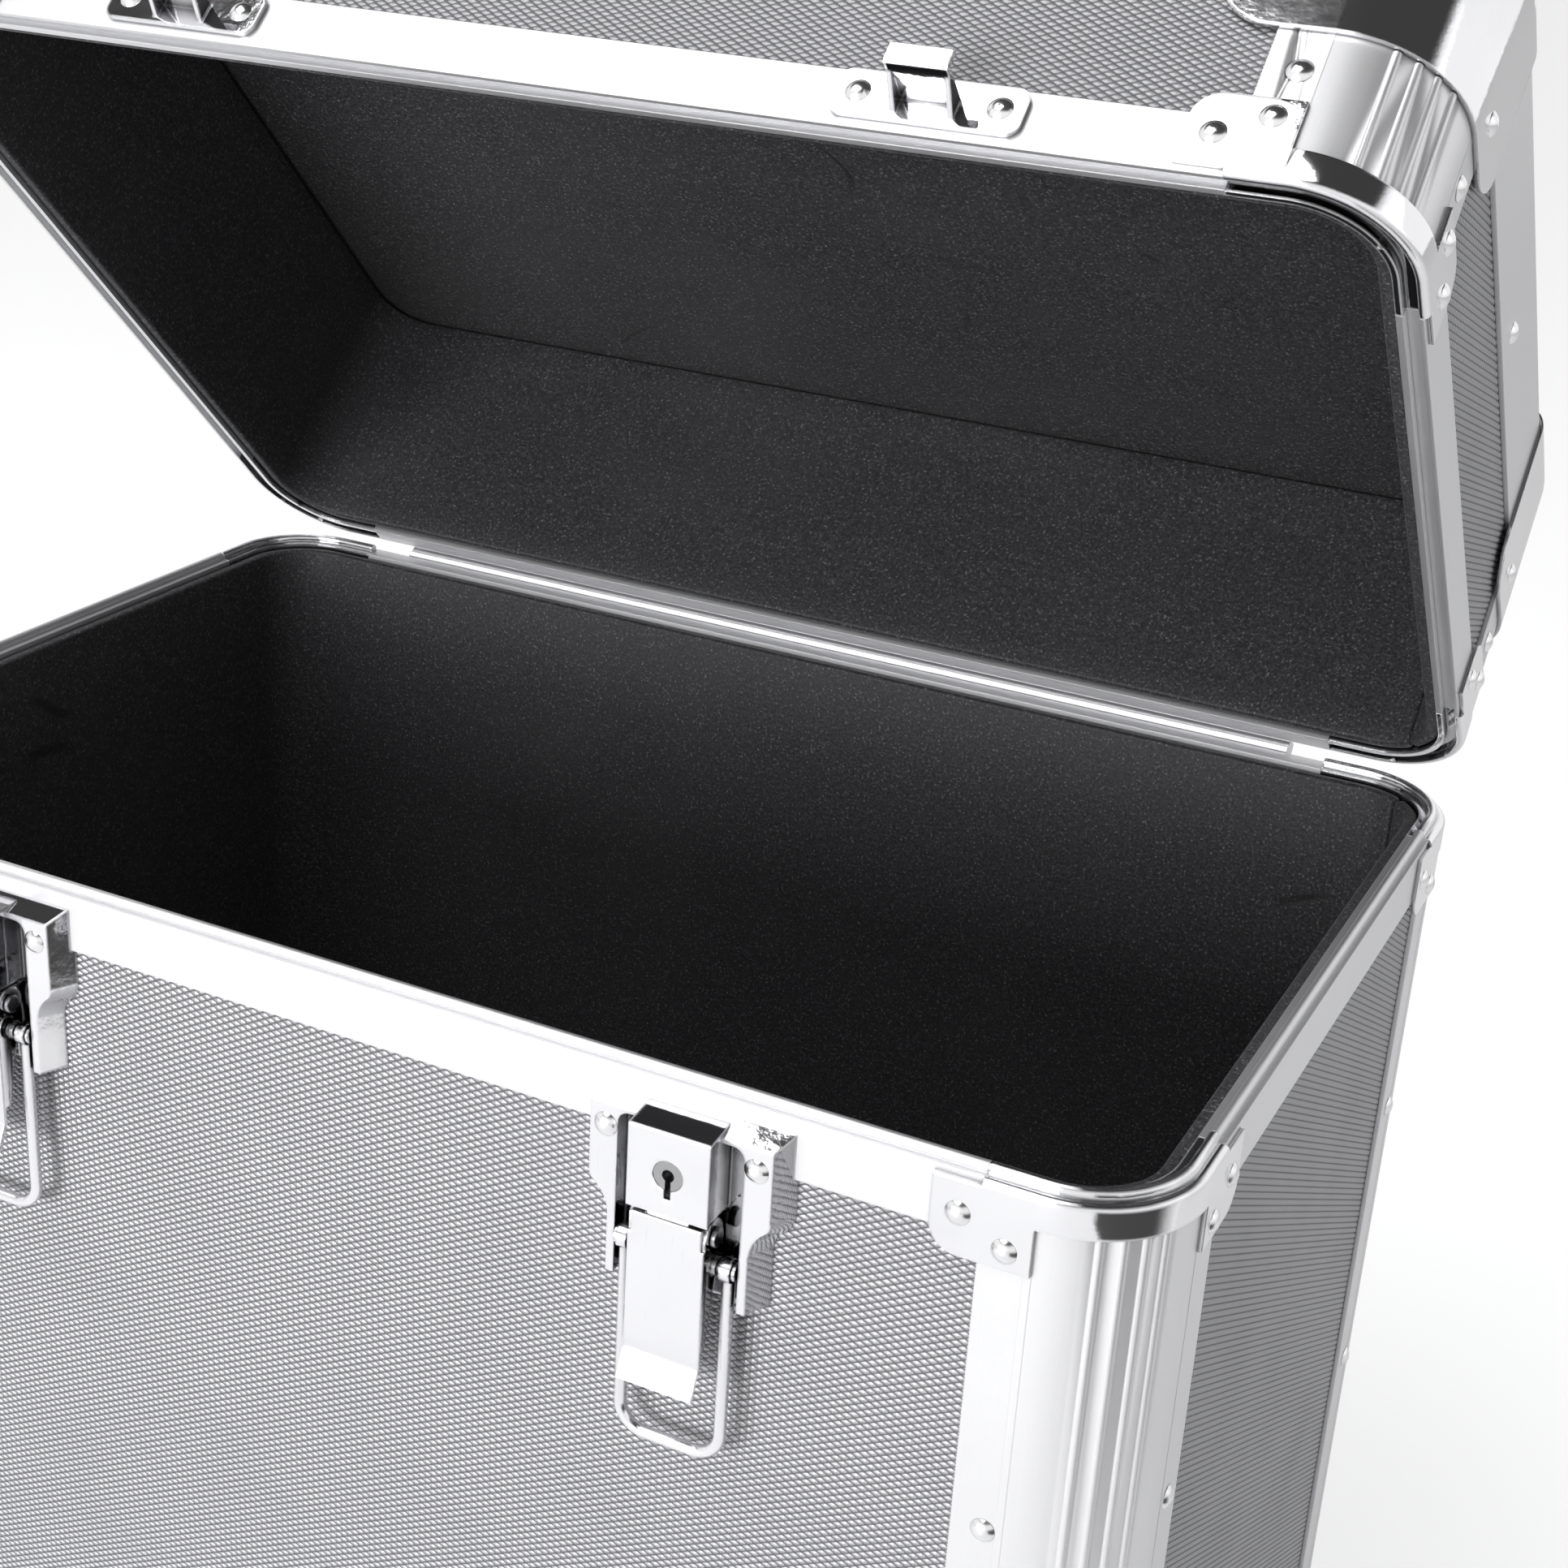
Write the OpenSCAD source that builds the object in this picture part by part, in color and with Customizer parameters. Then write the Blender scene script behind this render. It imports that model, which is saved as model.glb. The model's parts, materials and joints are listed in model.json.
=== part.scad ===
// Record carrying case: a deep base, a hinged lid, two draw latches with key
// locks and a folding handle. The base stands on z = 0 with its front towards -Y
// and the hinge along the back, and the lid stands open.

/* [Case] */
// Width over the rim, side to side
case_w = 360; // [320:5:440]
// Depth over the rim, front to back
case_d = 230; // [190:5:300]
// Height of the base, from its underside to the rim
base_h = 306; // [260:2:360]
// Height of the lid, from the rim to its top
lid_h = 80; // [76:1:120]
// Outer radius of the upright corners
corner_r = 23.6; // [22:0.2:26]
// Angle that the lid stands open at rest, in degrees
lid_open = 46; // [10:1:80]

/* [Walls] */
// Thickness of the laminated boards
board_t = 3.2; // [2.8:0.1:4]
// Thickness of the outer legs of the aluminium sections
skin_t = 1.2; // [0.9:0.1:1.5]
// Thickness of the inner legs of the aluminium sections
inner_t = 1; // [0.8:0.1:1.3]
// Thickness of the foam lining
lining_t = 3; // [2:0.5:5]

/* [Rim] */
// Height of the flange that faces the boards
flange_h = 13; // [12:0.5:16]
// Height of the inner leg behind the boards
inner_leg_h = 10; // [8:0.5:10.5]
// Thickness of the web over the boards' edges
web_t = 1.6; // [1.2:0.1:2]
// Width of the tongue on the base rim
tongue_w = 2.3; // [1.8:0.1:2.6]
// Height of the tongue on the base rim
tongue_h = 2; // [1.5:0.1:2.5]
// Clearance at each side of the tongue in the lid's channel
tongue_gap = 0.35; // [0.25:0.05:0.45]
// Width of the lip outside the lid's channel
outer_lip = 0.9; // [0.7:0.1:1.1]
// Gap between the two rims with the lid shut
seam_gap = 0.3; // [0.2:0.05:0.5]
// Radius along the outer edge of the rims' chrome corners
rim_round = 1.4; // [0.6:0.1:1.5]

/* [Corner trim] */
// Reach of the corner sections along each face, from the corner
leg_len = 34.3; // [32:0.1:36]
// Thickness of the chrome corner plates
plate_t = 1; // [0.8:0.1:1.3]
// Clearance between the chrome plates and the corner sections
plate_gap = 0.05; // [0.02:0.01:0.1]
// Height of the chrome band round a rim corner
band_h = 12; // [9:0.5:12]
// Reach of the riveted tabs along each face, from the corner
tab_len = 44; // [42:0.5:48]
// Height of the riveted tabs
tab_h = 17.5; // [17:0.5:20]
// Radius of the tabs' free corner
tab_r = 6; // [3:0.5:8]
// Pitch of the ribs round a corner section, in degrees
rib_pitch = 11.1; // [9:0.1:13]
// Radius of a rib
rib_r = 1.1; // [0.8:0.1:1.4]
// Height of a rib above the corner section
rib_h = 0.5; // [0.3:0.1:0.7]

/* [Edge trim] */
// Leg of the angle sections along the outer edges
edge_leg = 33; // [30:0.5:34]
// Outer radius of those angle sections
edge_r = 6.5; // [5.5:0.5:8]
// Reach of their inner legs
edge_inner = 16; // [12:0.5:20]
// Reach of the chrome corner caps along each face
cap_w = 48; // [46:0.5:52]
// Radius of the caps' free corners
cap_r = 12; // [8:0.5:14]

/* [Rivets] */
// Radius of a rivet's shank
rivet_r = 1.6; // [1.2:0.1:1.8]
// Radius of a rivet's head
rivet_head_r = 2.6; // [2.2:0.1:2.8]
// Height of a rivet's head
rivet_head_h = 1.3; // [1:0.1:1.6]
// Clearance round a shank
rivet_gap = 0.05; // [0.03:0.01:0.1]

/* [Hinge] */
// Distance of the hinge axis behind the rim's outer face
hinge_off = 3.7; // [3.6:0.1:4.4]
// Radius of the bead along the lid's hinge strip
bead_r = 2; // [1.8:0.1:2.2]
// Running clearance between the bead and its socket
hinge_gap = 0.06; // [0.04:0.01:0.1]
// Wall of the socket along the base's hinge strip
socket_t = 1.25; // [1:0.05:1.3]
// Thickness of the neck that carries the bead
neck_t = 1.2; // [1:0.1:1.3]

/* [Latches] */
// Distance of each latch's middle from the side of the case
latch_inset = 93.5; // [84:0.5:100]
// Width of the latch plate's shoulders
latch_w = 44.8; // [43:0.2:50]
// Width of the latch plate's neck
latch_neck_w = 36.2; // [35:0.2:38]
// Height of the bend from the shoulders to the neck
latch_bend = 9; // [6:0.5:11]
// Depth of the latch plate's top edge below the rim
latch_top = 3.2; // [2.6:0.1:4]
// Depth of the latch plate's bottom edge below the rim
latch_bottom = 43; // [41:0.5:48]
// Rise of the latch plate's face above the rim flange
latch_rise = 5; // [4.6:0.1:5.2]
// Wall of the pressed latch plate
press_t = 1; // [0.8:0.1:1.1]
// Rise of the lock box's face above the rim flange
box_rise = 9.5; // [9.2:0.1:9.8]
// Half the width of the lock box
box_half = 8.8; // [8.6:0.1:9]
// Depth of the lock box's bottom edge below the rim
box_bottom = 23.3; // [23:0.1:23.6]
// Radius of the lock cylinder
lock_r = 3.2; // [2.8:0.1:3.4]
// Half the width of the lever
lever_half = 8.25; // [8:0.05:8.3]
// Depth of the lever's tip below the rim
lever_tip = 62; // [58:0.5:66]
// Length of the bail from its pivot to the middle of its bar
bail_len = 44.6; // [44:0.1:46]
// Distance of the bail's legs from the latch's middle
bail_half = 11.3; // [11.2:0.05:11.5]
// Radius of the bail's wire
bail_r = 1.3; // [1.1:0.05:1.35]
// Thickness of the keeper's plate on the lid
keeper_t = 1.2; // [1:0.1:1.5]

/* [Handle] */
// Distance of the handle brackets from the middle of the lid
bracket_x = 71; // [62:1:90]
// Reach of the handle's grip from its pivot
handle_reach = 38; // [34:1:46]
// Radius of the handle's bar
bar_r = 3; // [2.5:0.1:3.5]
// Radius of the grip at its middle
grip_r = 9.5; // [8:0.5:10]

/* [Feet] */
// Height of the rubber feet below the base
foot_h = 6; // [4:0.5:10]
// Radius of the rubber feet
foot_r = 11; // [9:0.5:12]
// Distance of the feet's centres from the case's faces
foot_inset = 62; // [60:1:75]

/* [Hidden] */

$fn = 64;
rim_z = foot_h + base_h;
lid_shell_h = lid_h - seam_gap;
rim_w = skin_t + board_t + inner_t;
channel_w = tongue_w + 2 * tongue_gap;
tongue_u = -(outer_lip + channel_w / 2);
channel_depth = tongue_h;
floor_top = rim_w + lining_t;
// Where the lining starts below the rim, and the seat clearance behind inner legs
lining_drop = 1.2;
seat_gap = 0.2;
corner_names = ["front_right", "back_right", "back_left", "front_left"];
// Rivets: distance from the corner and from the rim or the outer edge
tab_rivets = [[tab_len - 5.5, 8.5], [(corner_r + leg_len) / 2, tab_h - 4]];
cap_rivet = [leg_len - 3.3, edge_leg + 4];
face_rivet = [cap_w - 10, 20];
post_rivet_s = corner_r + 4;
edge_rivet_v = edge_leg - 8;
cap_h = cap_w - 2;
// Hinge mouth, in degrees from straight back, upwards
neck_angle = 130;
mouth_from = 6;
mouth_to = 155;
hinge_len = case_w - 2 * (tab_len + 1);
latch_x = case_w / 2 - latch_inset;
// Lever pivot and bail pivot, below the rim and out from the flange
lever_pivot = [-(box_bottom + 4), 5.2];
bail_pivot = [lever_pivot[0] - 7, 4.2];
lever_pin_r = 1.2;
bail_pin_r = 1.15;
lever_face = box_rise - 1.1;
lever_t = 1;
recess_half = bail_half + 2.3;
channel_top = -latch_top - 3.4;
latch_rivet = [recess_half + 2.6, -latch_top - 7.2];
keeper_rivet = [14.5, 7.5];
bracket_rivet = 12.5;
lock_v = -(box_bottom - 8.9);
pin_gap = 0.05;
// Slopes of a latch plate's flanks and top, and the lean of the shut bail in degrees
flank_draft = 2.8;
bevel = 2.4;
bail_lean = 6;
keeper_bar = bail_pivot + bail_len * [cos(bail_lean), sin(bail_lean)];
handle_bend = 7;
// Height of the handle's pivot, at which the folded grip just clears the lid
pivot_h = grip_r + 0.5;
bar_half = bracket_x - 14;
bracket_half = 6;

function half_span(k) = k % 2 == 0 ? case_w / 2 : case_d / 2;
function half_out(k) = k % 2 == 0 ? case_d / 2 : case_w / 2;
function board_top(male) = male ? web_t : web_t + channel_depth;

// Frames. A shell is drawn with its rim on z = 0 and its body below.
module base_frame() {
  translate([0, 0, rim_z]) children();
}
module lid_turn() {
  translate([0, case_d / 2 + hinge_off, rim_z])
    rotate([-lid_open, 0, 0])
      translate([0, -case_d / 2 - hinge_off, -rim_z]) children();
}
module lid_frame() {
  lid_turn() translate([0, 0, rim_z + seam_gap]) mirror([0, 0, 1]) children();
}
// Face k is the front, right, back or left: x along it, y up and z outwards
module on_face(k) {
  rotate([0, 0, 90 * k])
    translate([0, -half_out(k), 0]) rotate([90, 0, 0]) children();
}
// Both faces beside corner k, with x measured from the corner
module beside_corner(k) {
  on_face(k) translate([half_span(k), 0, 0]) mirror([1, 0, 0]) children();
  on_face((k + 1) % 4) translate([-half_span(k + 1), 0, 0]) children();
}
module corner_centre(k) {
  rotate([0, 0, 90 * k])
    translate([half_span(k) - corner_r, corner_r - half_out(k), 0]) children();
}
// A section (x outwards, y up) carried along face k
module side_run(k, len) {
  rotate([0, 0, 90 * k]) translate([len / 2, -half_out(k), 0])
    rotate([90, 0, -90]) linear_extrude(len) children();
}
// The same section carried round corner k
module corner_arc(k) {
  corner_centre(k) rotate([0, 0, -90])
    rotate_extrude(angle = 90) translate([corner_r, 0]) children();
}
module corner_legs(k, leg) {
  corner_centre(k) {
    translate([0, leg, 0]) rotate([90, 0, 0])
      linear_extrude(leg) translate([corner_r, 0]) children();
    rotate([90, 0, -90]) linear_extrude(leg) translate([corner_r, 0]) children();
  }
}

// Plane shapes
module rounded_rect(w, d, r) {
  square([w - 2 * r, d], center = true);
  square([w, d - 2 * r], center = true);
  for (sx = [-1, 1], sy = [-1, 1])
    translate([sx * (w / 2 - r), sy * (d / 2 - r)]) circle(r);
}
module inset_rect(inset) {
  rounded_rect(case_w - 2 * inset, case_d - 2 * inset, corner_r - inset);
}
// A plate from the origin with its far corner rounded
module tab_shape(len, h, r) {
  square([len - r, h]);
  square([len, h - r]);
  translate([len - r, h - r]) circle(r);
}
module arc_band(r, t) {
  intersection() {
    difference() {
      circle(r);
      circle(r - t);
    }
    translate([0, -r - 1]) square(r + 1);
  }
}

// Rivets
module rivet(seat, depth) {
  ball_r = (rivet_head_r * rivet_head_r + rivet_head_h * rivet_head_h) / (2 * rivet_head_h);
  translate([0, 0, seat]) rotate_extrude() intersection() {
    translate([0, rivet_head_h - ball_r]) circle(ball_r);
    square([rivet_head_r, rivet_head_h]);
  }
  translate([0, 0, -depth]) cylinder(r = rivet_r, h = depth + seat);
}
module rivet_hole() {
  translate([0, 0, -rim_w - lining_t])
    cylinder(r = rivet_r + rivet_gap, h = rim_w + lining_t + 3 * plate_t);
}
module tab_sites(k) {
  for (p = tab_rivets) beside_corner(k) translate([p[0], -p[1], 0]) children();
}
module cap_sites(k, h) {
  beside_corner(k) translate([cap_rivet[0], cap_rivet[1] - h, 0]) children();
}
module post_sites(k, h) {
  rows = ceil(h / 120);
  for (i = [1 : rows]) beside_corner(k)
    translate([post_rivet_s, -i * h / (rows + 1) + (rows == 1 ? 15 : 0), 0]) children();
}
module edge_sites(k, h) {
  places = k % 2 == 0 ? [-case_w / 6, case_w / 6] : [0];
  on_face(k) for (x = places) translate([x, edge_rivet_v - h, 0]) children();
}
module hinge_sites() {
  on_face(2) for (i = [-1.5 : 1 : 1.5])
    translate([i * hinge_len / 4, -flange_h * 0.6, 0]) children();
}
module face_sites(k, h) {
  for (swap = [0, 1]) rotate([0, 0, 90 * k])
    translate([half_span(k) - face_rivet[swap], face_rivet[1 - swap] - half_out(k), -h])
      rotate([180, 0, 0]) children();
}
module keeper_sites() {
  on_face(0) for (side = [-1, 1], x = [-1, 1])
    translate([side * latch_x + x * keeper_rivet[0], -keeper_rivet[1], 0]) children();
}
module shell_rivets(male, h) {
  color("gainsboro") {
    for (k = [0 : 3]) {
      tab_sites(k) rivet(plate_t, rim_w);
      cap_sites(k, h) rivet(plate_t, rim_w);
      post_sites(k, h) rivet(0, rim_w);
      edge_sites(k, h) rivet(0, skin_t + board_t);
      face_sites(k, h) rivet(plate_t, skin_t + board_t);
    }
    hinge_sites() rivet(0, rim_w);
    if (!male) keeper_sites() rivet(keeper_t, rim_w);
  }
}
module corner_holes(k, h) {
  tab_sites(k) rivet_hole();
  cap_sites(k, h) rivet_hole();
  post_sites(k, h) rivet_hole();
  face_sites(k, h) rivet_hole();
}

// Boards
module side_panel(k, male, h, tint) {
  len = 2 * (half_span(k) - corner_r - web_t);
  top = board_top(male);
  color(tint) difference() {
    on_face(k) translate([-len / 2, edge_r + 0.1 - h, -skin_t - board_t])
      cube([len, h - edge_r - 0.1 - top, board_t]);
    for (c = [k, (k + 3) % 4]) corner_holes(c, h);
    edge_sites(k, h) rivet_hole();
    if (k == 2) hinge_sites() rivet_hole();
    if (k == 0 && male) latch_rivet_sites() rivet_hole();
    if (k == 0 && !male) keeper_sites() rivet_hole();
  }
}
module face_panel(male, h, tint) {
  color(tint) difference() {
    translate([0, 0, skin_t - h]) linear_extrude(board_t) inset_rect(edge_r + 0.1);
    for (k = [0 : 3]) face_sites(k, h) rivet_hole();
    if (male) foot_sites() translate([0, 0, -rim_z]) cylinder(r = 1.75, h = rim_z);
    if (!male) bracket_rivet_sites() rivet_hole();
  }
}

// Rim sections
module rim_section(male, grooved) {
  depth = board_top(male);
  difference() {
    union() {
      translate([-rim_w, -depth]) square([rim_w, depth]);
      translate([-skin_t, -flange_h]) square([skin_t, flange_h]);
      translate([-rim_w, -inner_leg_h]) square([inner_t, inner_leg_h]);
      if (male && grooved) tongue();
    }
    if (!male && grooved) channel();
  }
}
module tongue() {
  translate([tongue_u - tongue_w / 2, 0]) square([tongue_w, tongue_h - tongue_w / 2]);
  translate([tongue_u, tongue_h - tongue_w / 2]) circle(d = tongue_w);
}
module channel() {
  translate([tongue_u - channel_w / 2, -channel_depth])
    square([channel_w, channel_depth + 1]);
}
module rim_corner_section(male) {
  depth = board_top(male);
  difference() {
    union() {
      translate([-rim_w, -depth]) square([rim_w, depth]);
      translate([-rim_w, -inner_leg_h]) square([inner_t, inner_leg_h]);
      translate([0, -band_h]) square([plate_t, band_h]);
      if (male) tongue();
    }
    if (!male) channel();
    translate([plate_t - rim_round, -rim_round]) difference() {
      square(rim_round + 1);
      circle(rim_round);
    }
  }
}
module rim_rail(k, male) {
  color("lightgray") difference() {
    side_run(k, 2 * (half_span(k) - leg_len)) rim_section(male, true);
    for (c = [k, (k + 3) % 4]) tab_sites(c) rivet_hole();
    if (k == 0 && male) latch_rivet_sites() rivet_hole();
    if (k == 0 && !male) keeper_sites() rivet_hole();
  }
}
module rim_corner(k, male) {
  color("silver") difference() {
    union() {
      corner_arc(k) rim_corner_section(male);
      corner_legs(k, leg_len - corner_r) rim_corner_section(male);
      beside_corner(k) translate([corner_r, -rim_round, 0]) linear_extrude(plate_t)
        mirror([0, 1]) tab_shape(tab_len - corner_r, tab_h - rim_round, tab_r);
    }
    tab_sites(k) rivet_hole();
  }
}

// Hinge strips: a bead on the lid's strip turns in a socket on the base's strip
module socket_section() {
  difference() {
    union() {
      translate([hinge_off, 0]) circle(bead_r + hinge_gap + socket_t);
      translate([-0.2, -bead_r - socket_t]) square([hinge_off, bead_r + socket_t - 0.5]);
    }
    translate([hinge_off, 0]) circle(bead_r + hinge_gap);
    translate([hinge_off, 0]) polygon(concat([[0, 0]],
      [for (a = [mouth_from : (mouth_to - mouth_from) / 4 : mouth_to]) 9 * [cos(a), sin(a)]]));
  }
}
module bead_section() {
  translate([hinge_off, seam_gap]) {
    circle(bead_r);
    rotate(-neck_angle) translate([bead_r / 2, -neck_t / 2])
      square([(hinge_off + 0.5) / -cos(neck_angle) - bead_r / 2, neck_t]);
  }
}
module hinge_strip(male) {
  color("lightgray") difference() {
    union() {
      side_run(2, 2 * (half_span(2) - leg_len)) rim_section(male, false);
      side_run(2, hinge_len) if (male) socket_section(); else bead_section();
    }
    for (c = [1, 2]) tab_sites(c) rivet_hole();
    hinge_sites() rivet_hole();
  }
}

// Ribbed sections round the upright corners
module post_skin_section() {
  // The chrome plates go over it with a slight clearance
  t = skin_t - plate_gap;
  arc_band(corner_r - plate_gap, t);
  translate([corner_r - skin_t, 0]) square([t, leg_len - corner_r]);
  translate([corner_r - leg_len, plate_gap - corner_r]) square([leg_len - corner_r, t]);
}
module post_inner_section() {
  inner_r = corner_r - rim_w + inner_t;
  arc_band(inner_r, inner_t);
  translate([inner_r - inner_t, 0]) square([inner_t, leg_len - corner_r]);
  translate([corner_r - leg_len, -inner_r]) square([leg_len - corner_r, inner_t]);
  translate([corner_r - rim_w, 0]) square([rim_w, web_t]);
  translate([-web_t, -corner_r]) square([web_t, rim_w]);
}
module rib_section() {
  for (i = [-1.5 : 1 : 1.5]) rotate(-45 + i * rib_pitch)
    translate([corner_r + rib_h - rib_r, 0]) circle(rib_r);
}
module post(k, male, h) {
  foot = h - edge_leg - seat_gap;
  top = board_top(male);
  color("gainsboro") difference() {
    corner_centre(k) {
      translate([0, 0, -foot]) linear_extrude(foot - top) post_skin_section();
      translate([0, 0, -foot]) linear_extrude(foot - inner_leg_h - seat_gap)
        post_inner_section();
      translate([0, 0, cap_h + seat_gap - h])
        linear_extrude(h - cap_h - band_h - 2 * seat_gap) rib_section();
    }
    corner_holes(k, h);
  }
}

// Angle sections along the outer edges
module edge_section() {
  inner = rim_w - inner_t;
  translate([-skin_t, edge_r]) square([skin_t, edge_leg - edge_r]);
  translate([-edge_leg, 0]) square([edge_leg - edge_r, skin_t]);
  translate([-edge_r, edge_r]) arc_band(edge_r, skin_t);
  translate([-rim_w, inner]) square([inner_t, edge_inner - inner]);
  translate([-edge_inner, inner]) square([edge_inner - inner, inner_t]);
  web = edge_r - skin_t / 2 - (edge_r - inner) * sqrt(2) + inner_t / 2;
  translate([-inner, inner]) rotate(-45)
    translate([-inner_t / 2, -inner_t / 2]) square([web, inner_t]);
}
module edge_angle(k, h) {
  start = corner_r - 1;
  end = edge_leg + 2;
  difference() {
    side_run(k, 2 * (half_span(k) - corner_r)) translate([0, -h]) edge_section();
    for (side = [0, 1]) rotate([0, 0, 90 * k]) mirror([side, 0, 0])
      translate([half_span(k), -half_out(k), -h - 1]) linear_extrude(skin_t + 2)
        polygon([[-start, start], [-end, end], [-start, end]]);
    edge_sites(k, h) rivet_hole();
    for (c = [k, (k + 3) % 4]) face_sites(c, h) rivet_hole();
  }
}
module edge_angles(first, h) {
  color("gainsboro") for (k = [first, first + 2]) edge_angle(k, h);
}

// Chrome caps over the outer corners
module cap_bend_section() {
  translate([-edge_r, edge_r]) arc_band(edge_r + plate_t, plate_t);
}
// Flat of a cap, seen from the corner's centre, up to where the bends start
module cap_flat(leg) {
  flat_r = corner_r - edge_r;
  circle(flat_r);
  translate([-leg, -flat_r]) square([leg, flat_r + 0.01]);
  translate([-0.01, 0]) square([flat_r + 0.01, leg]);
  mirror([1, 0]) tab_shape(leg, leg, cap_r);
}
module corner_cap(k, h) {
  leg = cap_w - corner_r;
  color("silver") difference() {
    union() {
      corner_arc(k) translate([0, -h]) {
        cap_bend_section();
        translate([0, edge_r]) square([plate_t, cap_h - edge_r]);
      }
      corner_legs(k, leg) translate([0, -h]) cap_bend_section();
      corner_centre(k) translate([0, 0, -h - plate_t]) linear_extrude(plate_t) cap_flat(leg);
      beside_corner(k) translate([corner_r, edge_r - h, 0])
        linear_extrude(plate_t) tab_shape(leg, cap_h - edge_r, cap_r);
    }
    cap_sites(k, h) rivet_hole();
    face_sites(k, h) rivet_hole();
  }
}
module corner_caps(h) {
  for (k = [0 : 3]) corner_cap(k, h);
}

// Foam lining. Its corners turn a little tighter than the sections around it
module lining_rect() {
  rounded_rect(case_w - 2 * rim_w, case_d - 2 * rim_w, corner_r - rim_w + 2 * seat_gap);
}
module wall_lining(h) {
  deep = rim_w - inner_t;
  top = inner_leg_h + seat_gap;
  foot = h - edge_inner - seat_gap;
  gap = leg_len + seat_gap;
  color([0.13, 0.13, 0.14]) difference() {
    union() {
      translate([0, 0, floor_top - h])
        linear_extrude(h - floor_top - lining_drop) lining_rect();
      translate([0, 0, -foot]) linear_extrude(foot - top) {
        square([case_w - 2 * gap, case_d - 2 * deep], center = true);
        square([case_w - 2 * deep, case_d - 2 * gap], center = true);
      }
    }
    translate([0, 0, -h]) linear_extrude(h + 1) inset_rect(floor_top);
    // The strip's two ends meet at the back right corner
    corner_centre(1) rotate([0, 0, -60]) translate([0, -seat_gap, -h])
      cube([corner_r, 2 * seat_gap, h]);
  }
}
module face_lining(h) {
  color([0.14, 0.14, 0.15]) {
    translate([0, 0, rim_w - h]) linear_extrude(lining_t) lining_rect();
    translate([0, 0, rim_w - inner_t - h]) linear_extrude(inner_t + 0.1)
      square([case_w - 2 * edge_inner - 1, case_d - 2 * edge_inner - 1], center = true);
  }
}

// Feet
module foot_sites() {
  for (sx = [-1, 1], sy = [-1, 1])
    translate([sx * (case_w / 2 - foot_inset), sy * (case_d / 2 - foot_inset), 0]) children();
}
module rubber_feet() {
  tall = foot_h + skin_t;
  color([0.1, 0.1, 0.1]) foot_sites() rotate_extrude() difference() {
    union() {
      square([foot_r - 1.5, tall]);
      translate([0, 1.5]) square([foot_r, tall - 1.5]);
      translate([foot_r - 1.5, 1.5]) circle(1.5);
    }
    translate([-1, -1]) square([5.5 + 1, 1 + foot_h / 2]);
    translate([-1, -1]) square([1.8 + 1, tall + 2]);
  }
}
module foot_screws() {
  color("silver") foot_sites() difference() {
    union() {
      translate([0, 0, foot_h / 2 - 1.6]) cylinder(r1 = 3.6, r2 = 4.2, h = 1.6);
      translate([0, 0, foot_h / 2]) cylinder(r = 1.7, h = foot_h / 2 + skin_t + board_t);
    }
    for (a = [0, 90]) rotate([0, 0, a]) translate([-2, -0.5, 0])
      cube([4, 1, foot_h / 2 - 0.6]);
  }
}

// Latches. The frame has x across, y up from the rim and z out from the flange.
module latch_frame(side) {
  base_frame() on_face(0) translate([side * latch_x, 0, 0]) children();
}
// A section (x up, y outwards) carried across a latch
module across(half) {
  rotate([90, 0, 90]) linear_extrude(2 * half, center = true) children();
}
module latch_rivet_sites() {
  on_face(0) for (side = [-1, 1], x = [-1, 1])
    translate([side * latch_x + x * latch_rivet[0], latch_rivet[1], 0]) children();
}
module flank_section(half, t) {
  polygon([[t - half, -skin_t - t], [half - t, -skin_t - t],
    [half - flank_draft - t, latch_rise - t], [flank_draft + t - half, latch_rise - t]]);
}
// Both flanks' bends, a convex and a concave cone that cross in an edge halfway down
module flank_bends(t) {
  step = (latch_w - latch_neck_w) / 4;
  r = (step * step + latch_bend * latch_bend / 4) / (2 * step);
  deep = latch_rise + skin_t;
  outer = [latch_w / 2 - t - r, 0];
  inner = [latch_neck_w / 2 - t + r, -latch_bend];
  for (m = [0, 1]) mirror([m, 0, 0]) difference() {
    union() {
      translate(outer) cylinder(r1 = r, r2 = r - flank_draft, h = deep);
      linear_extrude(deep) polygon([[-1, 1], [outer[0], 1], outer, inner, [-1, -latch_bend]]);
    }
    translate(inner) cylinder(r1 = r + 0.04, r2 = r + 0.04 + flank_draft, h = deep);
  }
}
module plate_volume(t) {
  shoulder = -box_bottom + 2;
  intersection() {
    union() {
      rotate([90, 0, 0]) linear_extrude(-shoulder) flank_section(latch_w / 2, t);
      translate([0, shoulder, -skin_t - t]) flank_bends(t);
      rotate([90, 0, 0]) linear_extrude(latch_bottom - t) flank_section(latch_neck_w / 2, t);
    }
    across(latch_w / 2 + 1) polygon([[-latch_top - t, -5], [-latch_top - t, 0],
      [-latch_top - bevel - t, latch_rise - t], [t - latch_bottom, latch_rise - t],
      [t - latch_bottom, -5]]);
  }
}
module box_volume(t) {
  intersection() {
    across(box_half - t) polygon([[-latch_top - 0.4 - t, -skin_t - t],
      [-latch_top - 2 - t, box_rise - t], [-box_bottom - 2 * t, box_rise - t],
      [-box_bottom - 2 * t, -skin_t - t]]);
    translate([0, 0, -5]) linear_extrude(box_rise + 8)
      translate([-box_half, -box_bottom - 2 * t]) square([2 * box_half, box_bottom]);
  }
}
module both_sides(x0, x1, v0, v1, n0, n1) {
  for (m = [0, 1]) mirror([m, 0, 0]) translate([x0, v0, n0])
    cube([x1 - x0, v1 - v0, n1 - n0]);
}
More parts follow.
